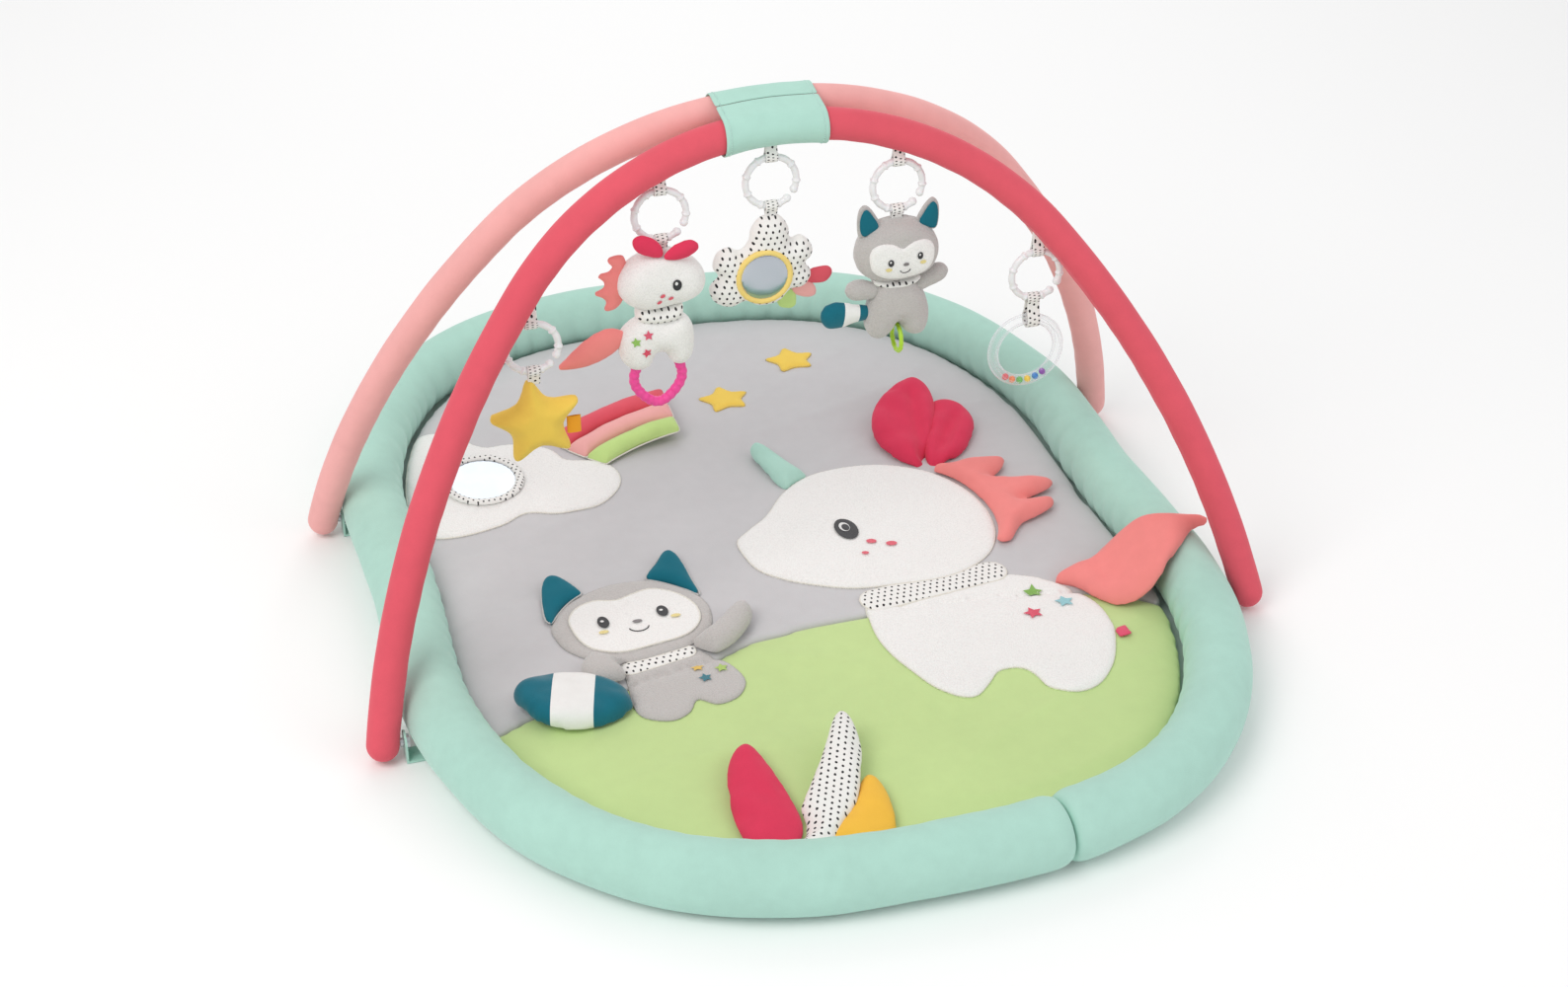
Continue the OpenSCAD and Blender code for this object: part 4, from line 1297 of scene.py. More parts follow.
    def raccoon_face(self) -> None:
        """The raccoon's eyes, nose, smile and cheeks, and the three small stars on its body."""
        face, body = "raccoon_face_applique", "raccoon_body_applique"
        for side, (x, y) in (("left", (-203, -103)), ("right", (-142, -99))):
            self.stitch(f"raccoon_eye_{side}", oval(x * MM, y * MM, 5.8 * MM, 9.2 * MM), face, Cloths.INK,
                        "grey_fleece")
            self.stitch(f"raccoon_glint_{side}", oval((x - 1) * MM, (y + 1) * MM, 1.9 * MM, 1.7 * MM), face,
                        Thread("white_thread", (244, 244, 242)), "white_fleece", 2.0 * MM)
        self.stitch("raccoon_nose", oval(-170 * MM, -109 * MM, 5 * MM, 2.6 * MM), face,
                    Thread("nose_thread", (128, 122, 124)), "grey_fleece")
        under = Under([self.sewn[face]], Facing.UP, self.otherwise)
        arc = [(-170.5 + 10 * math.cos(math.radians(a)), -117 + 8 * math.sin(math.radians(a)))
               for a in range(190, 351, 16)]
        line = [Vector((x * MM, y * MM, under.depth(x * MM, y * MM) + 0.4 * MM)) for x, y in arc]
        DRESSER.fit(tube("raccoon_smile", line, 0.6 * MM, 6), "root", Cloths.INK, "grey_fleece")
        blush = Thread("blush_thread", (246, 222, 150))
        for number, (x, y) in enumerate(((-206, -118), (-131, -110))):
            self.stitch(f"raccoon_cheek_{number + 1}", oval(x * MM, y * MM, 5 * MM, 2.6 * MM), face, blush,
                        "yellow_velour")
        stars = ((-132, -195, (236, 196, 80)), (-110, -203, (176, 208, 100)), (-129, -214, (40, 120, 136)))
        for number, (x, y, color) in enumerate(stars):
            loop = [(x * MM + u, y * MM + v) for u, v in star_outline(7 * MM, 0.5, 84 + 7 * number)]
            self.stitch(f"raccoon_star_{number + 1}", loop, body,
                        Thread(f"raccoon_star_thread_{number + 1}", color), "yellow_velour")


@dataclass
class Flaps:
    """The stuffed pieces that stand a little off the mat: horn, petals, mane, tails, ears, arms, leaves."""

    level: float = 24 * MM
    hidden_root: float = 1.2
    waiting: list[tuple[SoftPiece, Finish, str, tuple[str, ...],
                        Optional[Finish]]] = field(default_factory=list)

    def __post_init__(self) -> None:
        """Level the surface that the flaps lie on, so that they bridge the seams below them."""
        self.under = lambda points: np.full(len(points), self.level)

    def add(self, name: str, loop: Sequence[Point2], finish: Finish, slot: str, *nodes: str,
            root: Point2 = (0.0, 0.0), rise: float = 0.0, reach: float = 0.1, thickness: float = 12 * MM,
            edging: Optional[Finish] = None, under: Optional[Surface] = None,
            crease: Optional[Point2] = None) -> None:
        """Cut one flap.

        Args:
            name: the piece's name.
            loop: its outline.
            finish: what it is made of.
            slot: the record's material slot.
            nodes: the CAD nodes that it stands for.
            root: where it is sewn down.
            rise: how far its tip stands up.
            reach: how far its tip is from its root.
            thickness: how thick its middle is.
            edging: the thread along its seam, or None.
            under: the surface it lies on, if not the mat.
            crease: where a crease from its root runs to, or None.
        """
        def lift(flat: np.ndarray) -> np.ndarray:
            """How far each point stands up, by its distance from the root and from the crease."""
            away = flat - np.array(root)
            up = rise * np.clip(np.hypot(*away.T) / reach, 0, 1.2) ** 1.6
            if crease is None:
                return up
            way = (np.array(crease) - np.array(root)) / math.dist(crease, root)
            beside = away[:, 0] * way[1] - away[:, 1] * way[0]
            before_tip = np.clip((math.dist(crease, root) - away @ way) / (30 * MM), 0, 1)
            return up - 6.5 * MM * np.exp(-(beside / (8 * MM)) ** 2) * before_tip

        soft = SoftPiece(name, loop, thickness, under=under or self.under, shoulder=17 * MM, seam=1.6 * MM,
                         crumple=0.16, lift=lift)
        soft.build()
        self.waiting.append((soft, finish, slot, nodes, edging))

    def build(self) -> None:
        """Cut, swell and finish every flap."""
        self.unicorn()
        self.raccoon()
        self.leaves()
        self.rainbow()
        swell([soft.piece for soft, *_ in self.waiting], cap=3.5 * MM)
        for soft, finish, slot, nodes, edging in self.waiting:
            made = subdivided(soft.piece)
            DRESSER.fit(made, "root", finish, slot, *nodes, fill=0.7)
            if edging is not None:
                self.edge(soft, edging, slot)

    def edge(self, soft: SoftPiece, thread: Finish, slot: str) -> None:
        """Run a fine seam cord round a flap."""
        loop = inset_loop(evenly(soft.loop, 4 * MM), 0.3 * MM)
        points = np.array(evenly(loop, 4 * MM))
        depths = soft.under(points) + 1.4 * MM + soft.lift(points)
        line = [Vector((x, y, d)) for (x, y), d in zip(points, depths)]
        DRESSER.fit(tube(f"{soft.name}_seam", line, 0.9 * MM, 6, True), "root", thread, slot)

    def unicorn(self) -> None:
        """The unicorn's horn, petals, mane, tail and side tab."""
        self.add("unicorn_horn_flap", outline_of("unicorn_horn"), Cloths.MINT, "mint_velour", "unicorn_horn",
                 root=(60 * MM, 96 * MM), rise=7 * MM, reach=85 * MM, thickness=15 * MM)
        back = rounded([(210, 96), (244, 100), (270, 126), (288, 162), (286, 196), (268, 212), (244, 204),
                        (222, 160)])
        front = rounded([(196, 96), (174, 122), (165, 162), (177, 200), (206, 230), (240, 245), (255, 226),
                         (252, 190), (237, 150), (214, 112)])
        self.add("petal_back", moved_outline(back, 0, 0), Cloths.RASPBERRY, "coral_velour", "forelock_petals",
                 root=(220 * MM, 100 * MM), rise=5 * MM, reach=120 * MM, thickness=13 * MM,
                 crease=(282 * MM, 190 * MM))
        self.add("petal_front", moved_outline(front, 0, 0), Cloths.RASPBERRY, "coral_velour",
                 root=(205 * MM, 96 * MM), rise=21 * MM, reach=150 * MM, thickness=14 * MM,
                 crease=(236 * MM, 238 * MM))
        self.add("unicorn_mane_flap", outline_of("unicorn_mane"), Cloths.SALMON, "salmon_velour",
                 "unicorn_mane", root=(225 * MM, 15 * MM), rise=6 * MM, reach=100 * MM, thickness=11 * MM)
        self.tail()
        self.add("side_tab_ribbon", outline_of("side_tab"), Thread("pink_ribbon", (236, 70, 110)),
                 "coral_velour",
                 "side_tab", root=(276 * MM, -250 * MM), rise=3 * MM, reach=20 * MM, thickness=4 * MM)

    def tail(self) -> None:
        """The unicorn's tail, which climbs over the rim."""
        loop = outline_of("unicorn_tail")
        start, end = 296 * MM, 372 * MM
        over = 67 * MM

        def climb(points: np.ndarray) -> np.ndarray:
            """The height of the tail's underside, which rises onto the rim."""
            share = np.clip((points[:, 0] - start) / (end - start), 0, 1)
            return 23 * MM + (over - 23 * MM) * share * share * (3 - 2 * share)

        self.add("unicorn_tail_flap", loop, Cloths.SALMON, "salmon_velour", "unicorn_tail",
                 root=(280 * MM, -160 * MM), rise=2 * MM, reach=160 * MM, thickness=15 * MM, under=climb)

    def raccoon(self) -> None:
        """The raccoon's ears, arms and banded tail."""
        light = Thread("ear_edging", (206, 206, 204))
        roots = ((-230 * MM, -70 * MM), (-118 * MM, -62 * MM))
        for side, loop, root in zip(("left", "right"), outlines_of("raccoon_ears"), roots):
            nodes = ("raccoon_ears",) if side == "left" else ()
            self.add(f"raccoon_ear_{side}", loop, Cloths.TEAL, "teal_velour", *nodes, root=root, rise=8 * MM,
                     reach=70 * MM, thickness=8 * MM, edging=light)
        roots = ((-196 * MM, -165 * MM), (-120 * MM, -160 * MM))
        for side, loop, root in zip(("left", "right"), outlines_of("raccoon_arms"), roots):
            nodes = ("raccoon_arms",) if side == "left" else ()
            self.add(f"raccoon_arm_{side}", loop, Cloths.GREY_FLEECE, "grey_fleece", *nodes, root=root,
                     rise=9 * MM, reach=75 * MM, thickness=16 * MM)
        bands = BandedVelour("banded_tail", Cloths.TEAL.color, Cloths.WHITE_VELOUR.color,
                             (-259 * MM, -220 * MM, 0), (1, -0.28, 0), 20 * MM)
        self.add("raccoon_tail_flap", outline_of("raccoon_tail"), bands, "teal_velour", "raccoon_tail",
                 root=(-205 * MM, -228 * MM), rise=6 * MM, reach=110 * MM, thickness=19 * MM)

    def leaves(self) -> None:
        """The three leaves in the front seam."""
        for name, node, finish, slot, root, rise in (
                ("leaf_coral_flap", "leaf_coral", Cloths.RASPBERRY, "coral_velour", (-120, -450), 16),
                ("leaf_dotted_flap", "leaf_dotted", Cloths.DOTS_FLAT, "dotted_cotton", (-105, -458), 24),
                ("leaf_yellow_flap", "leaf_yellow", Cloths.AMBER, "yellow_velour", (-60, -470), 14)):
            loop = outline_of(node)
            tip = max(y for _, y in loop)
            self.add(name, [(x, tip + (y - tip) * self.hidden_root) for x, y in loop], finish, slot, node,
                     root=(root[0] * MM, root[1] * MM), rise=rise * MM, reach=125 * MM, thickness=11 * MM)

    def rainbow(self) -> None:
        """The rainbow's three stuffed strips and their white backing seams."""
        cloths = (Cloths.CORAL, Cloths.PINK, Velour("light_green_velour", (196, 224, 142)))
        slots = ("coral_velour", "pink_velour", "green_velour")
        loops = sorted(outlines_of("rainbow_flap"), key=lambda loop: -max(p[1] for p in loop))
        for number, (loop, finish, slot) in enumerate(zip(loops, cloths, slots)):
            nodes = ("rainbow_flap",) if number == 0 else ()
            self.add(f"rainbow_strip_{number + 1}", evenly(loop, 4 * MM), finish, slot, *nodes,
                     root=(-170 * MM, 225 * MM), rise=16 * MM, reach=150 * MM, thickness=13 * MM,
                     edging=Cloths.EDGE)


@dataclass
class Mat:
    """The whole mat: rim, panels, patches, flaps and the tabs that hold the arches."""

    shape: MatShape = field(default_factory=MatShape)

    def build(self) -> None:
        """Build the mat from its rim inwards."""
        Rim(self.shape).build()
        top = MatTop(self.shape).build()
        Patches(top).build()
        Flaps().build()
        for node, finish, slot in (
                ("mat_backing", Cloths.COTTON, "backing_cotton"), ("foot_tabs", Cloths.MINT, "mint_velour"),
                ("foot_sockets", Metal("stud_metal"), "stud_metal")):
            DRESSER.dress(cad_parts[node], finish)


# ---------------------------------------------------------------- arches


@dataclass
class Arch:
    """One padded arch: a rod in a foam tube, in a velour cover with sewn round ends."""

    name: str
    foot_y: float
    apex_y: float
    height: float = 522 * MM
    top_radius: float = 330 * MM
    top_half_angle: float = math.radians(52)
    leg_radius: float = 930 * MM
    hinge_z: float = 18 * MM
    tube_radius: float = 16 * MM
    step: float = 5 * MM
    sides: int = 26

    def __post_init__(self) -> None:
        """Work out where the legs' arcs are centred, their ends and the arch's lean."""
        a, top, leg = self.top_half_angle, self.top_radius, self.leg_radius
        self.leg_x = (top - leg) * math.sin(a)
        self.leg_h = self.height - top * (1 - math.cos(a)) - leg * math.cos(a)
        self.foot_angle = math.acos(-self.leg_h / leg)
        self.top_half = top * a
        self.half = self.top_half + leg * (self.foot_angle - a)
        self.lean = math.asin((self.apex_y - self.foot_y) / self.height)

    def middle(self, along: float) -> tuple[Vector, Vector, Vector]:
        """A point of the tube's middle line, and the two ways across it.

        Args:
            along: the way along the line from the top, positive to the right.

        Returns:
            The point, the outward way in the arch's plane and the way across the plane.
        """
        side, far = math.copysign(1.0, along), abs(along)
        if far <= self.top_half:
            angle = far / self.top_radius
            x = self.top_radius * math.sin(angle)
            h = self.height - self.top_radius * (1 - math.cos(angle))
        else:
            angle = self.top_half_angle + (far - self.top_half) / self.leg_radius
            x = self.leg_x + self.leg_radius * math.sin(angle)
            h = self.leg_h + self.leg_radius * math.cos(angle)
        s, c = math.sin(self.lean), math.cos(self.lean)
        point = Vector((side * x, self.foot_y + h * s, self.hinge_z + h * c))
        out = Vector((side * math.sin(angle), math.cos(angle) * s, math.cos(angle) * c))
        return point, out, Vector((0, c, -s))

    def cover(self) -> Piece:
        """The velour cover, with a seam along its inner side and rounded, gathered ends."""
        stops = [(-self.half, math.radians(a)) for a in range(-90, 0, 12)]
        count = int(2 * self.half / self.step)
        stops += [(-self.half + 2 * self.half * i / count, 0.0) for i in range(count + 1)]
        stops += [(self.half, math.radians(a)) for a in range(12, 91, 12)]
        stops[-1] = (self.half, math.radians(90))
        rows = []
        for along, bulge in stops:
            point, out, across = self.middle(along)
            way = out.cross(across) * (1 if along > 0 else -1)
            way = way if way.z < 0 else -way
            point = point + way * (self.tube_radius * abs(math.sin(bulge)) * 0.97)
            reach = self.tube_radius * math.cos(bulge)
            rows.append([self.skin(point, out, across, 2 * math.pi * k / self.sides, along, reach)
                         for k in range(self.sides + 1)])
        return subdivided(lofted(f"{self.name}_cloth", rows, (2 * self.half, 2 * math.pi * self.tube_radius)))

    def skin(self, point: Vector, out: Vector, across: Vector, angle: float, along: float,
             reach: float) -> Vector:
        """A point of the cover, with its slight folds and its seam."""
        seam = math.exp(-((math.degrees(angle) - 180) / 9) ** 2)
        ridge = math.sin(along * 2 * math.pi / (34 * MM) + 2 * noise.noise(Vector((along * 9, 1, 2))))
        soft = noise.noise(Vector((along * 22, math.cos(angle) * 1.3, math.sin(angle) * 1.3 + self.foot_y)))
        fold = 0.5 * MM * soft + 0.18 * MM * ridge * max(0.0, -math.cos(angle))
        r = max(0.0, reach) * (1 + (fold - 1.3 * MM * seam) / self.tube_radius)
        return point + out * (r * math.cos(angle)) + across * (r * math.sin(angle))

    def build(self, body: str, finish: Finish, slot: str) -> None:
        """Build the arch's pieces.

        Args:
            body: the body that the arch is.
            finish: the cover's cloth.
            slot: the cover's slot.
        """
        DRESSER.fit(self.cover(), body, finish, slot, f"{self.name}_cover", fill=0.9)
        for node, inner, inner_slot in (
                (f"{self.name}_rod", Plastic("rod_fibre", (64, 66, 70), 0.5), "rod_fibre"),
                (f"{self.name}_foam", Cloths.FOAM, "foam"),
                (f"{self.name}_studs", Metal("stud_metal"), "stud_metal")):
            DRESSER.dress(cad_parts[node], inner)


@dataclass
class Sleeve:
    """The mint sleeve round both arches: two halves that meet on hook-and-loop strips."""

    front: Arch
    rear: Arch
    middle_x: float = -6 * MM
    half_length: float = 50 * MM
    split_y: float = -7 * MM
    split_gap: float = 0.15 * MM
    reach: float = 18.1 * MM
    wall: float = 1.6 * MM
    rows: int = 24

    def build(self) -> None:
        """Build both halves, their hems and the strips."""
        for arch, body, sign, node in ((self.front, "front_arch", -1, "sleeve_front"),
                                       (self.rear, "rear_arch", 1, "sleeve_rear")):
            half = self.half(arch, sign, f"{node}_cloth")
            DRESSER.fit(half, body, Cloths.MINT, "mint_velour", node, fill=0.1)
            for end in (-1, 1):
                hem = self.profile(arch, sign, self.middle_x + end * (self.half_length - 5 * MM), 0.5 * MM)
                piece = tube(f"{node}_stitch_{'left' if end < 0 else 'right'}", hem, 0.45 * MM, 5)
                DRESSER.fit(piece, body, Thread("mint_thread", (190, 226, 216)), "mint_velour")
        for node in ("hook_strip", "loop_strip"):
            DRESSER.dress(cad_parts[node], Fleece("hook_tape", (236, 236, 234), curl=1100.0))

    def profile(self, arch: Arch, sign: int, x: float, proud: float) -> list[Vector]:
        """The line that a half takes round its tube, at one place along the sleeve.

        Both halves run along the two straight lines that touch both tubes, so they meet at the split.

        Args:
            arch: the arch that the half is on.
            sign: -1 for the front half and 1 for the rear.
            x: the place across the mat.
            proud: how far outside the sleeve's outer face the line is.

        Returns:
            The line, from the split underneath round to the split on top.
        """
        along = arch.top_radius * math.asin(x / arch.top_radius)
        centre = arch.middle(along)[0]
        other = (self.rear if arch is self.front else self.front).middle(along)[0]
        across = (other - centre).normalized()
        up = Vector((0, -across.z, across.y)) * math.copysign(1.0, across.y)
        reach = self.reach + proud
        line = []
        for k in range(17):
            a = math.pi * k / 16
            line.append(centre - up * (reach * math.cos(a)) - across * (reach * math.sin(a)))
        stop = self.split_y + sign * self.split_gap
        lower, upper = (end + across * ((stop - end.y) / across.y) for end in (line[0], line[-1]))
        under = [lower.lerp(line[0], k / 4) for k in range(4)]
        over = [line[-1].lerp(upper, k / 4) for k in range(1, 5)]
        return under + line + over

    def half(self, arch: Arch, sign: int, name: str) -> Piece:
        """One half of the sleeve."""
        rows = []
        for i in range(self.rows + 1):
            share = 2 * i / self.rows - 1
            flare = 0.9 * MM * abs(share) ** 6
            line = self.profile(arch, sign, self.middle_x + self.half_length * share, flare)
            rows.append([p + Vector((0, 0, 0.5 * MM * noise.noise(p * 45))) for p in line])
        made = lofted(name, rows, (2 * self.half_length, 80 * MM))
        core = arch.middle(0.0)[0]
        outward = sum((made.matrix_world @ p.center - core).dot(p.normal) for p in made.data.polygons)
        if outward < 0:
            made.data.flip_normals()
        wall = made.modifiers.new("wall", "SOLIDIFY")
        wall.thickness = self.wall
        wall.offset = -1.0
        return subdivided(made)


# ---------------------------------------------------------------- toys


@dataclass
class Link:
    """A round plastic link with ridges like bamboo, ball ends and a gap at its lower right."""

    node: str
    body: str
    radius: float = 25 * MM
    rod: float = 3.4 * MM
    ridge: float = 1.5 * MM
    ridges: int = 8
    ball: float = 4.3 * MM
    gap_middle: float = -38.0
    gap: float = 26.0

    def centre(self) -> Vector:
        """The middle of the link's hole."""
        low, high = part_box(self.node)
        return Vector(((low.x + high.x) / 2, (low.y + high.y) / 2,
                       high.z - self.rod - self.radius - 0.25 * MM))

    def build(self) -> None:
        """Build the link."""
        centre = self.centre()
        start = math.radians(self.gap_middle + self.gap / 2)
        sweep = math.radians(360 - self.gap)
        ball_turn = self.ball / self.radius
        count = 156
        turns = [start - ball_turn + (sweep + 2 * ball_turn) * i / count for i in range(count + 1)]
        line, radii = [], []
        for t in turns:
            line.append(centre + Vector((math.cos(t), 0, math.sin(t))) * self.radius)
            end = min(abs(t - start), abs(t - start - sweep)) * self.radius
            inside = start < t < start + sweep
            ball = math.sqrt(max(0.0, self.ball ** 2 - end ** 2)) if end < self.ball else 0.0
            phase = ((t - start) / sweep * self.ridges) % 1 - 0.5
            rib = self.ridge * math.exp(-(phase / 0.075) ** 2) - 0.2 * MM * math.cos(2 * math.pi * phase)
            radii.append(max(ball, self.rod + rib if inside else 0.05 * MM))
        piece = subdivided(tube(f"{self.node}_ring", line, radii, 12))
        DRESSER.fit(piece, self.body, Cloths.LINK, "white_plastic", self.node)

    def pivot(self) -> Vector:
        """Where the toy's ribbon hangs on the link."""
        return self.centre() - Vector((0, 0, self.radius))


def ribbon(name: str, centre: Vector, neck: float, up: bool, width: float = 12 * MM, bore: float = 4.9 * MM,
           thick: float = 1.2 * MM) -> Piece:
    """A ribbon folded round a rod that lies across the mat, with its two ends side by side.

    Args:
        name: the piece's name.
        centre: the middle of the rod.
        neck: how far the ends reach from the rod's middle.
        up: whether the ends go up, or else down.
        width: the ribbon's width.
        bore: the radius of the fold.
        thick: the ribbon's thickness.

    Returns:
        The ribbon.
    """
    way = 1 if up else -1
    path = [(-thick * 0.62, neck), (-thick * 0.64, neck * 0.75)]
    for k in range(13):
        a = math.radians(125 + 290 * k / 12)
        path.append((bore * math.cos(a), bore * math.sin(a)))
    path += [(thick * 0.64, neck * 0.75), (thick * 0.62, neck)]
    rows = []
    for i in range(7):
        x = centre.x + width * (i / 6 - 0.5)
        rows.append([Vector((x, centre.y + u, centre.z + way * v)) for u, v in path])
    length = 2 * neck + 2 * math.pi * bore
    made = lofted(name, rows, (width, length))
    wall = made.modifiers.new("wall", "SOLIDIFY")
    wall.thickness = thick
    wall.offset = 0.0
    return subdivided(made)


class HangingToy:
    """What the five toys share: their link, their place and the way their soft pieces are made."""

    key = "toy"

    def __init__(self) -> None:
        """Find the toy's link and pivot."""
        self.link = Link(f"{self.key}_link", f"{self.key}_hanger")
        self.pivot = self.link.pivot()
        self.soft: list[tuple[SoftPiece, Finish, str, tuple[str, ...], float]] = []

    def outline(self, points: Sequence[Point2], smooth: bool = True) -> list[Point2]:
        """An outline given in millimetres from the pivot, in the row frame."""
        return moved_outline(rounded(points) if smooth else points, self.pivot.x, self.pivot.z)

    def stuff(self, name: str, points: Sequence[Point2], thickness: float, finish: Finish, slot: str,
              *nodes: str,
              forward: float = 0.0, fill: float = 0.8, shoulder: float = 17 * MM, smooth: bool = True,
              voxel: float = 3.2 * MM) -> None:
        """Cut one stuffed piece of the toy; thickness is in metres and points are from the pivot."""
        piece = SoftPiece(name, self.outline(points, smooth), thickness, facing=Facing.FORWARD,
                          middle=-self.pivot.y + forward, shoulder=shoulder, crumple=0.12, voxel=voxel)
        piece.build()
        self.soft.append((piece, finish, slot, nodes, fill))

    def finish(self) -> None:
        """Finish the stuffed pieces once they have swollen."""
        for piece, finish, slot, nodes, fill in self.soft:
            DRESSER.fit(subdivided(piece.piece), self.key, finish, slot, *nodes, fill=fill)

    def front(self, name: str) -> Under:
        """The front surface of one of the toy's pieces."""
        return Under([bpy.data.objects[name]], Facing.FORWARD, -self.pivot.y + 10 * MM)

    def sew(self, name: str, loop: Sequence[Point2], under: Under, thread: Finish, slot: str,
            raised: float = 0.8 * MM) -> None:
        """Embroider a shape, given in millimetres from the pivot, on a front surface."""
        made = spot(name, moved_outline(loop, self.pivot.x, self.pivot.z), under, Facing.FORWARD, raised)
        DRESSER.fit(made, self.key, thread, slot)

    def hang(self, drop: float) -> None:
        """Hang the toy's own ribbon on its link."""
        piece = ribbon(f"{self.key}_ribbon", self.pivot, drop, up=False)
        DRESSER.fit(piece, self.key, Cloths.DOTS_RIBBON, "dotted_cotton")

    def cut(self) -> None:
        """Cut the stuffed pieces."""

    def trim(self) -> None:
        """Add what is sewn on once the pieces have swollen."""


class Star(HangingToy):
    """The soft yellow star with its orange tab."""

    key = "star"

    def cut(self) -> None:
        """Cut the star."""
        points = [(u, v - 54) for u, v in star_outline(47, 0.60, 97)]
        self.stuff("star_body", points, 27 * MM, Cloths.YELLOW, "yellow_velour", "star_toy", shoulder=20 * MM)

    def trim(self) -> None:
        """Add the ribbon and the tab."""
        self.hang(14 * MM)
        x, z = self.pivot.x + 33 * MM, self.pivot.z - 62 * MM
        rows = [[Vector((x + u * MM, self.pivot.y - (1.5 + w) * MM, z + v * MM)) for v in (-9, -3, 3, 9)]
                for u, w in ((-6, 0), (0, 1.2), (8, 1.4), (10.5, 0), (8, -1.4), (0, -1.2), (-6, 0))]
        tab = subdivided(lofted("star_tab", rows, (36 * MM, 18 * MM)))
        DRESSER.fit(tab, self.key, Velour("orange_tab", (246, 164, 48)), "yellow_velour")


class Unicorn(HangingToy):
    """The plush unicorn with its petals, mane, tail and teething loop."""

    key = "unicorn"

    def cut(self) -> None:
        """Cut the head, the body and the flaps."""
        head = [(-14, -10), (8, -9), (26, -18), (38, -31), (42, -46), (37, -58), (24, -65), (6, -68),
                (-14, -70), (-32, -64), (-43, -50), (-43, -34), (-32, -18)]
        body = [(-22, -78), (0, -82), (18, -79), (28, -90), (31, -108), (28, -126), (18, -134), (8, -131),
                (2, -121), (-8, -120), (-14, -131), (-26, -135), (-38, -129), (-45, -112), (-42, -92)]
        self.stuff("unicorn_body_plush", body, 30 * MM, Cloths.WHITE, "white_fleece", "unicorn_toy",
                   forward=0.0)
        self.stuff("unicorn_head_plush", head, 34 * MM, Cloths.WHITE, "white_fleece", forward=2 * MM)
        neck = [(-24, -66), (-6, -70), (16, -66), (20, -74), (16, -84), (-6, -87), (-26, -82)]
        self.stuff("unicorn_neck_wrap", neck, 26 * MM, Cloths.DOTS_UPRIGHT, "dotted_cotton", shoulder=10 * MM)
        mane = [(-36, -12), (-52, -14), (-46, -26), (-62, -30), (-54, -42), (-66, -50), (-54, -58),
                (-56, -70), (-42, -66), (-34, -50), (-32, -28)]
        self.stuff("unicorn_mane_plush", mane, 9 * MM, Cloths.SALMON, "salmon_velour", forward=-2 * MM)
        tail = [(-38, -92), (-56, -86), (-78, -96), (-96, -112), (-104, -122), (-84, -124), (-62, -119),
                (-44, -108)]
        self.stuff("unicorn_tail_plush", tail, 13 * MM, Cloths.SALMON, "salmon_velour", forward=2 * MM)
        left = [(-2, -12), (-14, -10), (-27, -3), (-31, 9), (-22, 13), (-10, 8), (-2, -2)]
        right = [(-2, -12), (4, -4), (14, 2), (27, 3), (33, -5), (24, -13), (10, -16)]
        self.stuff("unicorn_petal_left", left, 10 * MM, Cloths.RASPBERRY, "coral_velour", forward=14 * MM)
        self.stuff("unicorn_petal_right", right, 10 * MM, Cloths.RASPBERRY, "coral_velour", forward=16 * MM)

    def trim(self) -> None:
        """Add the ribbon, the face, the stars and the teething loop."""
        self.hang(13 * MM)
        head, body = self.front("unicorn_head_plush"), self.front("unicorn_body_plush")
        self.sew("unicorn_toy_eye", oval(10, -40, 4.4, 5.6), head, Cloths.INK, "white_fleece")
        self.sew("unicorn_toy_glint", oval(9.2, -38, 1.5, 1.7), head, Thread("white_thread", (244, 244, 242)),
                 "white_fleece", 1.4 * MM)
        rosy = Thread("rosy_thread", (236, 92, 112))
        for number, (x, z) in enumerate(((-4, -50), (4, -54), (-7, -57))):
            self.sew(f"unicorn_toy_cheek_{number + 1}", oval(x, z, 2.6, 1.9, 30), head, rosy, "coral_velour")
        colors = ((228, 92, 120), (150, 200, 96), (230, 70, 100))
        for number, ((x, z), color) in enumerate(zip(((-18, -92), (-30, -98), (-20, -110)), colors)):
            loop = [(x + u, z + v) for u, v in star_outline(5.2, 0.5, 90 + 10 * number)]
            self.sew(f"unicorn_toy_star_{number + 1}", loop, body,
                     Thread(f"toy_star_thread_{number + 1}", color), "yellow_velour")
        self.teether()

    def teether(self) -> None:
        """The textured loop below the feet, drawn to a soft point."""
        path = [(-21, -116), (-22.5, -128)]
        for i in range(61):
            a = math.radians(148 + 244 * i / 60)
            drop = max(0.0, -math.sin(a))
            path.append((24 * math.cos(a) * (1 - 0.2 * drop ** 2),
                         -146 + 24.5 * math.sin(a) - 3.4 * drop ** 3))
        path += [(22.5, -128), (21, -116)]
        line = [self.pivot + Vector(((x - 6) * MM, 0, z * MM)) for x, z in path]
        radii = [(5.0 + 0.5 * math.cos(1.7 * i)) * MM for i in range(len(line))]
        loop = subdivided(tube("unicorn_teether_loop", line, radii, 14))
        DRESSER.fit(loop, self.key, Plastic("pink_silicone", (244, 72, 158), 0.5, milk=0.1, grip=0.6),
                    "pink_silicone", "unicorn_teether")


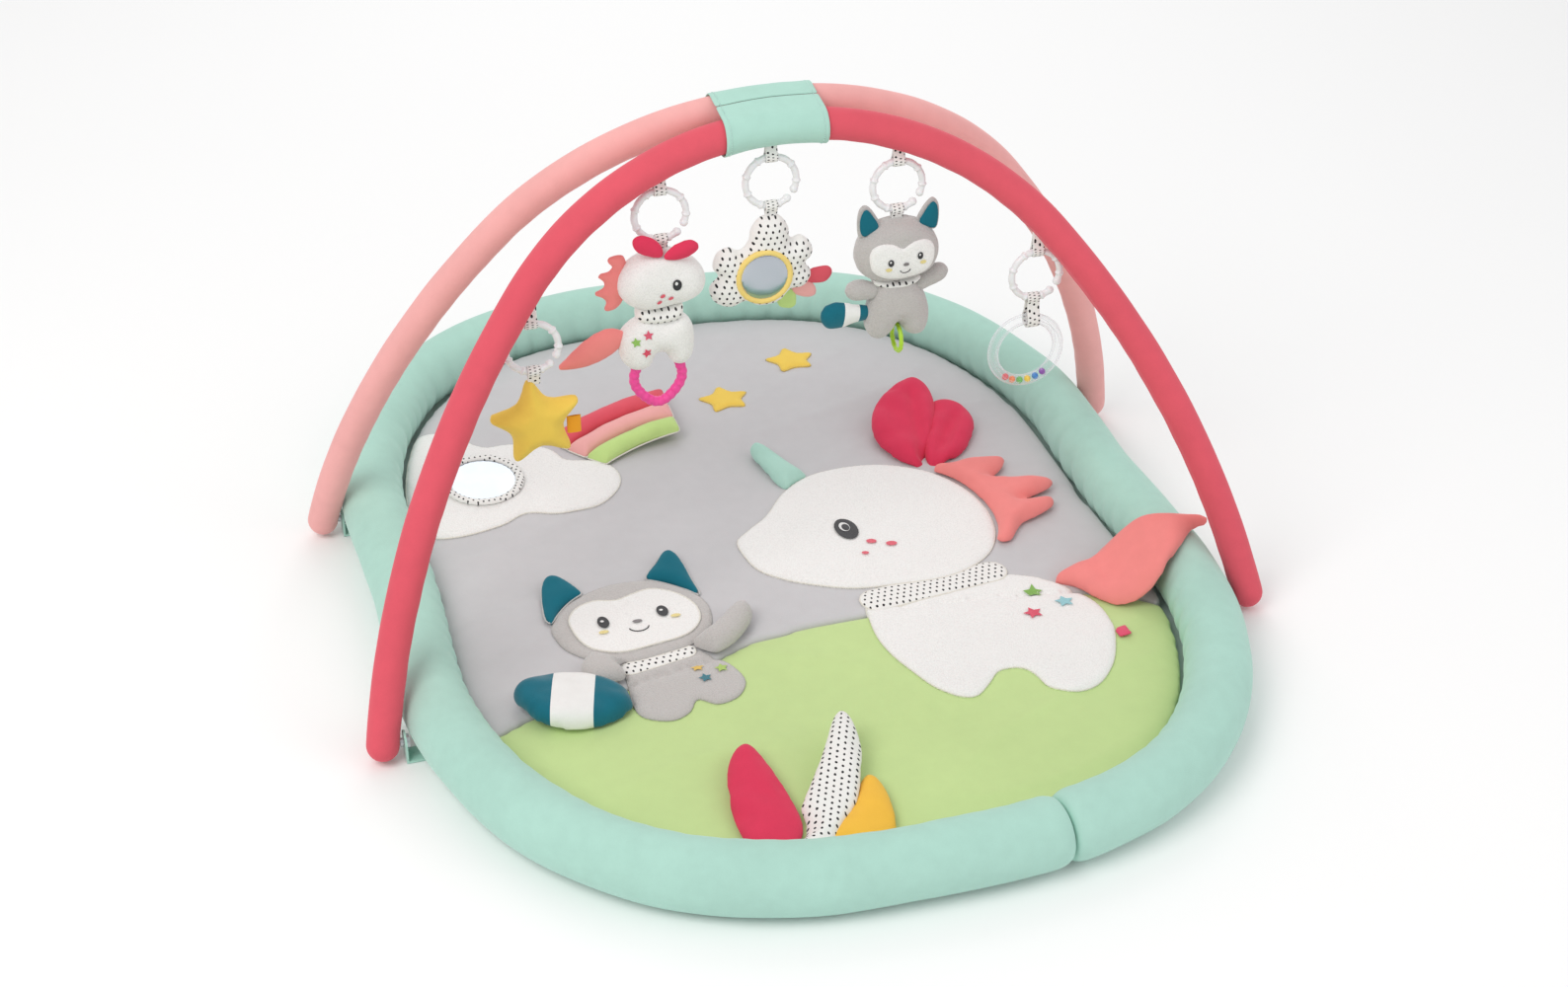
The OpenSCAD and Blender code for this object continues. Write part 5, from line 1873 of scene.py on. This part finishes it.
class Cloud(HangingToy):
    """The dotted cloud pouch with its mirror and three ribbon tabs."""

    key = "cloud"

    def cut(self) -> None:
        """Cut the cloud and its tabs."""
        points = [(-9, -9), (8, -9), (18, -22), (20, -36), (32, -34), (42, -44), (43, -56), (36, -64),
                  (42, -76),
                  (34, -90), (20, -92), (8, -103), (-12, -106), (-26, -99), (-42, -103), (-58, -95),
                  (-63, -80),
                  (-54, -68), (-60, -58), (-56, -44), (-44, -38), (-32, -42), (-24, -34), (-20, -20)]
        self.stuff("cloud_body", points, 22 * MM, Cloths.DOTS_UPRIGHT, "dotted_cotton", "cloud_pouch",
                   shoulder=13 * MM)
        tabs = (("coral", Cloths.CORAL, "coral_velour",
                 [(34, -76), (56, -72), (63, -80), (54, -90), (34, -86)]),
                ("pink", Cloths.PINK, "pink_velour",
                 [(26, -84), (42, -88), (47, -100), (38, -104), (22, -96)]),
                ("green", Velour("light_green_velour", (196, 224, 142)), "green_velour",
                 [(8, -92), (24, -94), (26, -110), (18, -113), (8, -108)]))
        for name, finish, slot, loop in tabs:
            self.stuff(f"cloud_tab_{name}", loop, 5 * MM, finish, slot, shoulder=5 * MM, voxel=2.2 * MM,
                       forward=-2 * MM)

    def trim(self) -> None:
        """Add the ribbon, the mirror and its yellow ring."""
        self.hang(14 * MM)
        x, z = self.pivot.x - 10 * MM, self.pivot.z - 68 * MM
        front = self.pivot.y - 12.6 * MM
        line = [Vector((u, front, v)) for u, v in oval(x, z, 25.6 * MM, 25.6 * MM, count=72)]
        ring = tube("cloud_mirror_ring", line, [(2.9 + 0.2 * math.sin(i * 2.4)) * MM for i in range(72)], 10,
                    True)
        DRESSER.fit(ring, self.key, Velour("yellow_binding", (246, 214, 128)), "yellow_velour", fill=0.4)
        film = SoftPiece("cloud_mirror_film", oval(x, z, 24 * MM, 24 * MM, count=48), 3.2 * MM,
                         facing=Facing.FORWARD, middle=-front, seam=1.6 * MM, voxel=2.6 * MM, crumple=0.1)
        DRESSER.fit(subdivided(film.build()), self.key, MirrorFilm("cloud_mirror_film"), "mirror_film",
                    "cloud_mirror")


class Raccoon(HangingToy):
    """The plush raccoon with its pull ring."""

    key = "raccoon"

    def cut(self) -> None:
        """Cut the head, the face, the body, the limbs, the ears and the tail."""
        head = [(-12, -9), (12, -9), (30, -18), (41, -34), (42, -50), (34, -64), (16, -72), (-4, -74),
                (-24, -71), (-38, -60), (-43, -44), (-38, -26), (-26, -14)]
        body = [(-14, -74), (14, -74), (24, -82), (33, -98), (36, -118), (31, -134), (18, -137), (8, -129),
                (3, -120), (-3, -129), (-14, -137), (-26, -133), (-31, -118), (-28, -98), (-22, -82)]
        self.stuff("raccoon_body_plush", body, 34 * MM, Cloths.GREY_FLEECE, "grey_fleece", "raccoon_toy")
        self.stuff("raccoon_head_plush", head, 38 * MM, Cloths.GREY_FLEECE, "grey_fleece", forward=2 * MM)
        left = [(-18, -78), (-34, -70), (-48, -72), (-52, -82), (-44, -91), (-28, -92), (-18, -88)]
        right = [(18, -80), (32, -66), (46, -62), (54, -70), (50, -80), (36, -86), (22, -90)]
        self.stuff("raccoon_arm_left_plush", left, 18 * MM, Cloths.GREY_FLEECE, "grey_fleece", forward=3 * MM)
        self.stuff("raccoon_arm_right_plush", right, 18 * MM, Cloths.GREY_FLEECE, "grey_fleece",
                   forward=3 * MM)
        neck = [(-22, -70), (0, -74), (22, -70), (24, -77), (2, -84), (-22, -78)]
        self.stuff("raccoon_neck_wrap", neck, 33 * MM, Cloths.DOTS_UPRIGHT, "dotted_cotton", shoulder=9 * MM)
        for side, sign in (("left", -1), ("right", 1)):
            ear = [(sign * u, v) for u, v in ((20, -14), (26, -2), (33, 7), (38, 3), (40, -9), (37, -22),
                                              (29, -19))]
            rim = [(sign * u, v) for u, v in ((18, -14), (24, 0), (33, 10), (40, 5), (42, -9), (39, -25),
                                              (29, -21))]
            self.stuff(f"raccoon_ear_back_{side}", rim, 8 * MM, Cloths.GREY_FLEECE, "grey_fleece",
                       forward=4 * MM)
            self.stuff(f"raccoon_ear_plush_{side}", ear, 7 * MM, Cloths.TEAL, "teal_velour", forward=8 * MM)
        tail = [(-24, -102), (-40, -98), (-56, -93), (-70, -95), (-76, -106), (-70, -119), (-56, -121),
                (-40, -117), (-24, -114)]
        bands = BandedVelour("banded_toy_tail", Cloths.TEAL.color, Cloths.WHITE_VELOUR.color,
                             (self.pivot.x - 45 * MM, 0, self.pivot.z - 108 * MM), (1, 0, -0.12), 8 * MM)
        self.stuff("raccoon_tail_plush", tail, 16 * MM, bands, "teal_velour", forward=0.0)

    def trim(self) -> None:
        """Add the ribbon, the white face with its features, and the pull ring."""
        self.hang(14 * MM)
        head = self.front("raccoon_head_plush")
        mask = [(-33, -40), (-30, -30), (-20, -26), (-8, -28), (0, -33), (8, -28), (20, -26), (31, -31),
                (34, -42), (30, -54), (18, -63), (0, -66), (-18, -63), (-30, -54)]
        face = SoftPiece("raccoon_face_plush", self.outline(mask), 2.4 * MM, facing=Facing.FORWARD,
                         under=head, sunk=1.5 * MM, voxel=2.6 * MM, shoulder=6 * MM)
        DRESSER.fit(subdivided(face.build()), self.key, Cloths.WHITE, "white_fleece", fill=0.2)
        on_face = self.front("raccoon_face_plush")
        for side, x, z in (("left", -13, -45), ("right", 17, -41)):
            self.sew(f"raccoon_toy_eye_{side}", oval(x, z, 2.9, 3.7), on_face, Cloths.INK, "grey_fleece")
            self.sew(f"raccoon_toy_glint_{side}", oval(x - 0.6, z + 1.2, 1.0, 1.1), on_face,
                     Thread("white_thread", (244, 244, 242)), "white_fleece", 1.3 * MM)
        self.sew("raccoon_toy_nose", oval(2.5, -48, 2.9, 1.8), on_face,
                 Thread("nose_thread", (128, 122, 124)), "grey_fleece")
        blush = Thread("blush_thread", (246, 222, 150))
        for side, x, z in (("left", -15, -52), ("right", 20, -48)):
            self.sew(f"raccoon_toy_cheek_{side}", oval(x, z, 3.2, 1.9), on_face, blush, "yellow_velour")
        arc = [(2 + 5.5 * math.cos(math.radians(a)), -53 + 4.5 * math.sin(math.radians(a)))
               for a in range(195, 346, 15)]
        points = moved_outline(arc, self.pivot.x, self.pivot.z)
        line = [plane_point(x, z, on_face.depth(x, z) + 0.3 * MM, Facing.FORWARD) for x, z in points]
        DRESSER.fit(tube("raccoon_toy_smile", line, 0.4 * MM, 6), self.key, Cloths.INK, "grey_fleece")
        self.ring()

    def ring(self) -> None:
        """The lime pull ring, edge-on below its cord."""
        low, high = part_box("pull_ring")
        centre = Vector(((low.x + high.x) / 2, (low.y + high.y) / 2, low.z + 16.4 * MM))
        line, radii = [], []
        for i in range(48):
            a = 2 * math.pi * i / 48
            line.append(centre + Vector((0, math.cos(a), math.sin(a))) * (14 * MM))
            radii.append((2.35 + 0.25 * math.cos(12 * a)) * MM)
        ring = subdivided(tube("pull_ring_loop", line, radii, 12, True))
        lime = Plastic("lime_plastic", (176, 218, 48), 0.35, milk=0.1)
        DRESSER.fit(ring, "pull", lime, "lime_plastic", "pull_ring")
        cord = [Vector((centre.x, centre.y, z)) for z in np.linspace(centre.z + 14 * MM, high.z, 30)]
        twist = [(1.15 + 0.15 * math.sin(i * 2.2)) * MM for i in range(30)]
        DRESSER.fit(tube("pull_cord_braid", cord, twist, 8), "pull", Thread("lime_cord", (150, 200, 60)),
                    "lime_plastic")


class Rattle(HangingToy):
    """The clear rattle ring with its six beads, on a dotted strap."""

    key = "rattle"

    def trim(self) -> None:
        """Build the strap, the ring and the beads."""
        low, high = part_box("rattle_ring")
        centre = (low + high) / 2
        thick, seam_out, bead_r, bead_gap = 5.5 * MM, 5.45 * MM, 3.7 * MM, 14
        mean = (high.x - low.x) / 2 - thick
        shell = [centre + Vector((math.cos(a), 0, math.sin(a))) * mean
                 for a in (2 * math.pi * i / 120 for i in range(120))]
        DRESSER.fit(tube("rattle_ring_shell", shell, thick, 24, True), self.key,
                    ClearPlastic("clear_plastic"), "clear_plastic", "rattle_ring")
        for side, offset in (("front", -1), ("back", 1)):
            seam = [p + Vector((0, offset * seam_out, 0)) for p in shell]
            DRESSER.fit(tube(f"rattle_seam_{side}", seam, 0.35 * MM, 6, True), self.key,
                        ClearPlastic("clear_plastic"), "clear_plastic")
        self.strap(centre.z + mean)
        colors = (("red", (228, 28, 46)), ("orange", (250, 128, 16)), ("green", (88, 186, 60)),
                  ("yellow", (252, 208, 24)), ("blue", (24, 128, 208)), ("purple", (140, 66, 172)))
        for i, (name, color) in enumerate(colors):
            a = math.radians(-90 + (i - 2.5) * bead_gap)
            bm = bmesh.new()
            place = centre + Vector((math.cos(a), 0, math.sin(a))) * mean
            bmesh.ops.create_uvsphere(bm, u_segments=24, v_segments=14, radius=bead_r,
                                      matrix=Matrix.Translation(place) @ Matrix.Rotation(-a, 4, "Y"))
            for vert in bm.verts:
                offset = vert.co - place
                way = Vector((-math.sin(a), 0, math.cos(a)))
                vert.co -= way * offset.dot(way) * 0.12
            nodes = ("rattle_beads",) if i == 0 else ()
            DRESSER.fit(piece_from(bm, f"bead_{name}"), "beads", Plastic(f"{name}_bead", color, 0.2),
                        "bead_plastic", *nodes)

    def strap(self, ring_top: float) -> None:
        """The dotted strap from the link to the ring."""
        path = []
        for k in range(11):
            a = math.radians(-55 + 290 * k / 10)
            path.append((4.9 * MM * math.cos(a), self.pivot.z + 4.9 * MM * math.sin(a)))
        for k in range(11):
            a = math.radians(125 + 290 * k / 10)
            path.append((8.6 * MM * math.cos(a), ring_top + 8.6 * MM * math.sin(a)))
        path.append(path[0])
        x0, width = self.pivot.x - 2 * MM, 13 * MM
        rows = [[Vector((x0 + width * (i / 6 - 0.5), self.pivot.y + u, z)) for u, z in path]
                for i in range(7)]
        made = lofted("rattle_strap_ribbon", rows, (width, 100 * MM))
        wall = made.modifiers.new("wall", "SOLIDIFY")
        wall.thickness = 1.3 * MM
        wall.offset = 0.0
        DRESSER.fit(subdivided(made), self.key, Cloths.DOTS_RIBBON, "dotted_cotton", "rattle_strap")


@dataclass
class Hangings:
    """The five links, the loops that hold them and the five toys."""

    arch: Arch

    def build(self) -> None:
        """Build the links and toys, and swell the stuffed pieces together."""
        toys = [Star(), Unicorn(), Cloud(), Raccoon(), Rattle()]
        for toy in toys:
            toy.link.build()
            toy.cut()
        swell([piece.piece for toy in toys for piece, *_ in toy.soft], cap=2.2 * MM, frames=16)
        for toy in toys:
            toy.finish()
            toy.trim()
        for number, toy in enumerate(toys):
            self.loop(toy, number)

    def loop(self, toy: HangingToy, number: int) -> None:
        """The dotted loop that holds one link to the front arch."""
        top = toy.link.centre() + Vector((0, 0, toy.link.radius))
        along = self.arch.top_radius * math.asin(top.x / self.arch.top_radius)
        point = self.arch.middle(along)[0]
        neck = point.z - top.z - self.arch.tube_radius * 0.86
        if toy.key == "cloud":
            neck -= 2 * MM
        nodes = ("hanging_loops",) if number == 0 else ()
        piece = ribbon(f"{toy.key}_hanging_loop", top, neck, up=True)
        DRESSER.fit(piece, "front_arch", Cloths.DOTS_RIBBON, "dotted_cotton", *nodes)


# ---------------------------------------------------------------- studio


@dataclass
class Studio:
    """A pale floor, soft light and the camera."""

    eye: tuple[float, float, float] = (-0.6109, -2.0387, 1.4162)
    forward: tuple[float, float, float] = (0.2486, 0.8104, -0.5306)
    right: tuple[float, float, float] = (0.9567, -0.2911, 0.0036)
    up: tuple[float, float, float] = (0.1515, 0.5085, 0.8476)
    lens: float = 55.98
    sensor: float = 36.0
    reach: float = 50.0
    floor_size: float = 12.0
    floor_drop: float = 0.0006
    sky_strength: float = 0.62
    aim: tuple[float, float, float] = (0, 0, 0.15)

    def build(self) -> None:
        """Build the floor, the lights, the sky and the camera."""
        bm = bmesh.new()
        bmesh.ops.create_grid(bm, x_segments=1, y_segments=1, size=self.floor_size)
        bmesh.ops.translate(bm, vec=(0, 0, -self.floor_drop), verts=bm.verts[:])
        floor = piece_from(bm, "studio_floor", smooth=False)
        r = Recipe("studio_floor")
        r.paint(r.blend((248, 248, 248), (252, 252, 252), r.noise(0.6)))
        r.fixed(Roughness=0.9, Specular_IOR_Level=0.1)
        floor.data.materials.append(r.material)
        self.light("key", (-1.9, -1.3, 2.6), 1.9, 46.0, (1.0, 0.985, 0.965))
        self.light("fill", (2.2, -1.8, 1.9), 2.4, 17.0, (0.96, 0.98, 1.0))
        self.light("back", (0.5, 2.4, 2.3), 2.2, 22.0, (1.0, 1.0, 1.0))
        world = bpy.data.worlds.new("studio_sky")
        world.use_nodes = True
        sky = world.node_tree.nodes["Background"]
        sky.inputs["Color"].default_value = (1.0, 1.0, 1.0, 1.0)
        sky.inputs["Strength"].default_value = self.sky_strength
        bpy.context.scene.world = world
        bpy.context.scene.view_settings.view_transform = "Standard"
        self.camera()

    def light(self, name: str, place: tuple[float, float, float], size: float, power: float,
              color: tuple[float, float, float]) -> None:
        """Hang one soft square light that faces the object."""
        data = bpy.data.lights.new(name, "AREA")
        data.shape = "SQUARE"
        data.size = size
        data.energy = power
        data.color = color
        lamp = bpy.data.objects.new(name, data)
        lamp.location = place
        lamp.rotation_euler = (Vector(self.aim) - Vector(place)).to_track_quat("-Z", "Y").to_euler()
        bpy.context.scene.collection.objects.link(lamp)

    def camera(self) -> None:
        """Place the camera."""
        data = bpy.data.cameras.new("camera")
        data.lens = self.lens
        data.sensor_width = self.sensor
        data.clip_end = self.reach
        made = bpy.data.objects.new("camera", data)
        columns = Matrix((self.right, self.up, [-v for v in self.forward])).transposed()
        made.matrix_world = Matrix.Translation(self.eye) @ columns.to_4x4()
        bpy.context.scene.collection.objects.link(made)
        bpy.context.scene.camera = made


def main() -> None:
    """Build the gym round its frame."""
    logging.basicConfig(level=logging.INFO, format="%(name)s: %(message)s")
    Studio().build()
    Mat().build()
    front = Arch("front", foot_y=-218 * MM, apex_y=-26.5 * MM)
    rear = Arch("rear", foot_y=186 * MM, apex_y=12.5 * MM)
    front.build("front_arch", Cloths.CORAL, "coral_velour")
    rear.build("rear_arch", Cloths.PINK, "pink_velour")
    Sleeve(front, rear).build()
    Hangings(front).build()


if __name__ == "__main__":
    main()
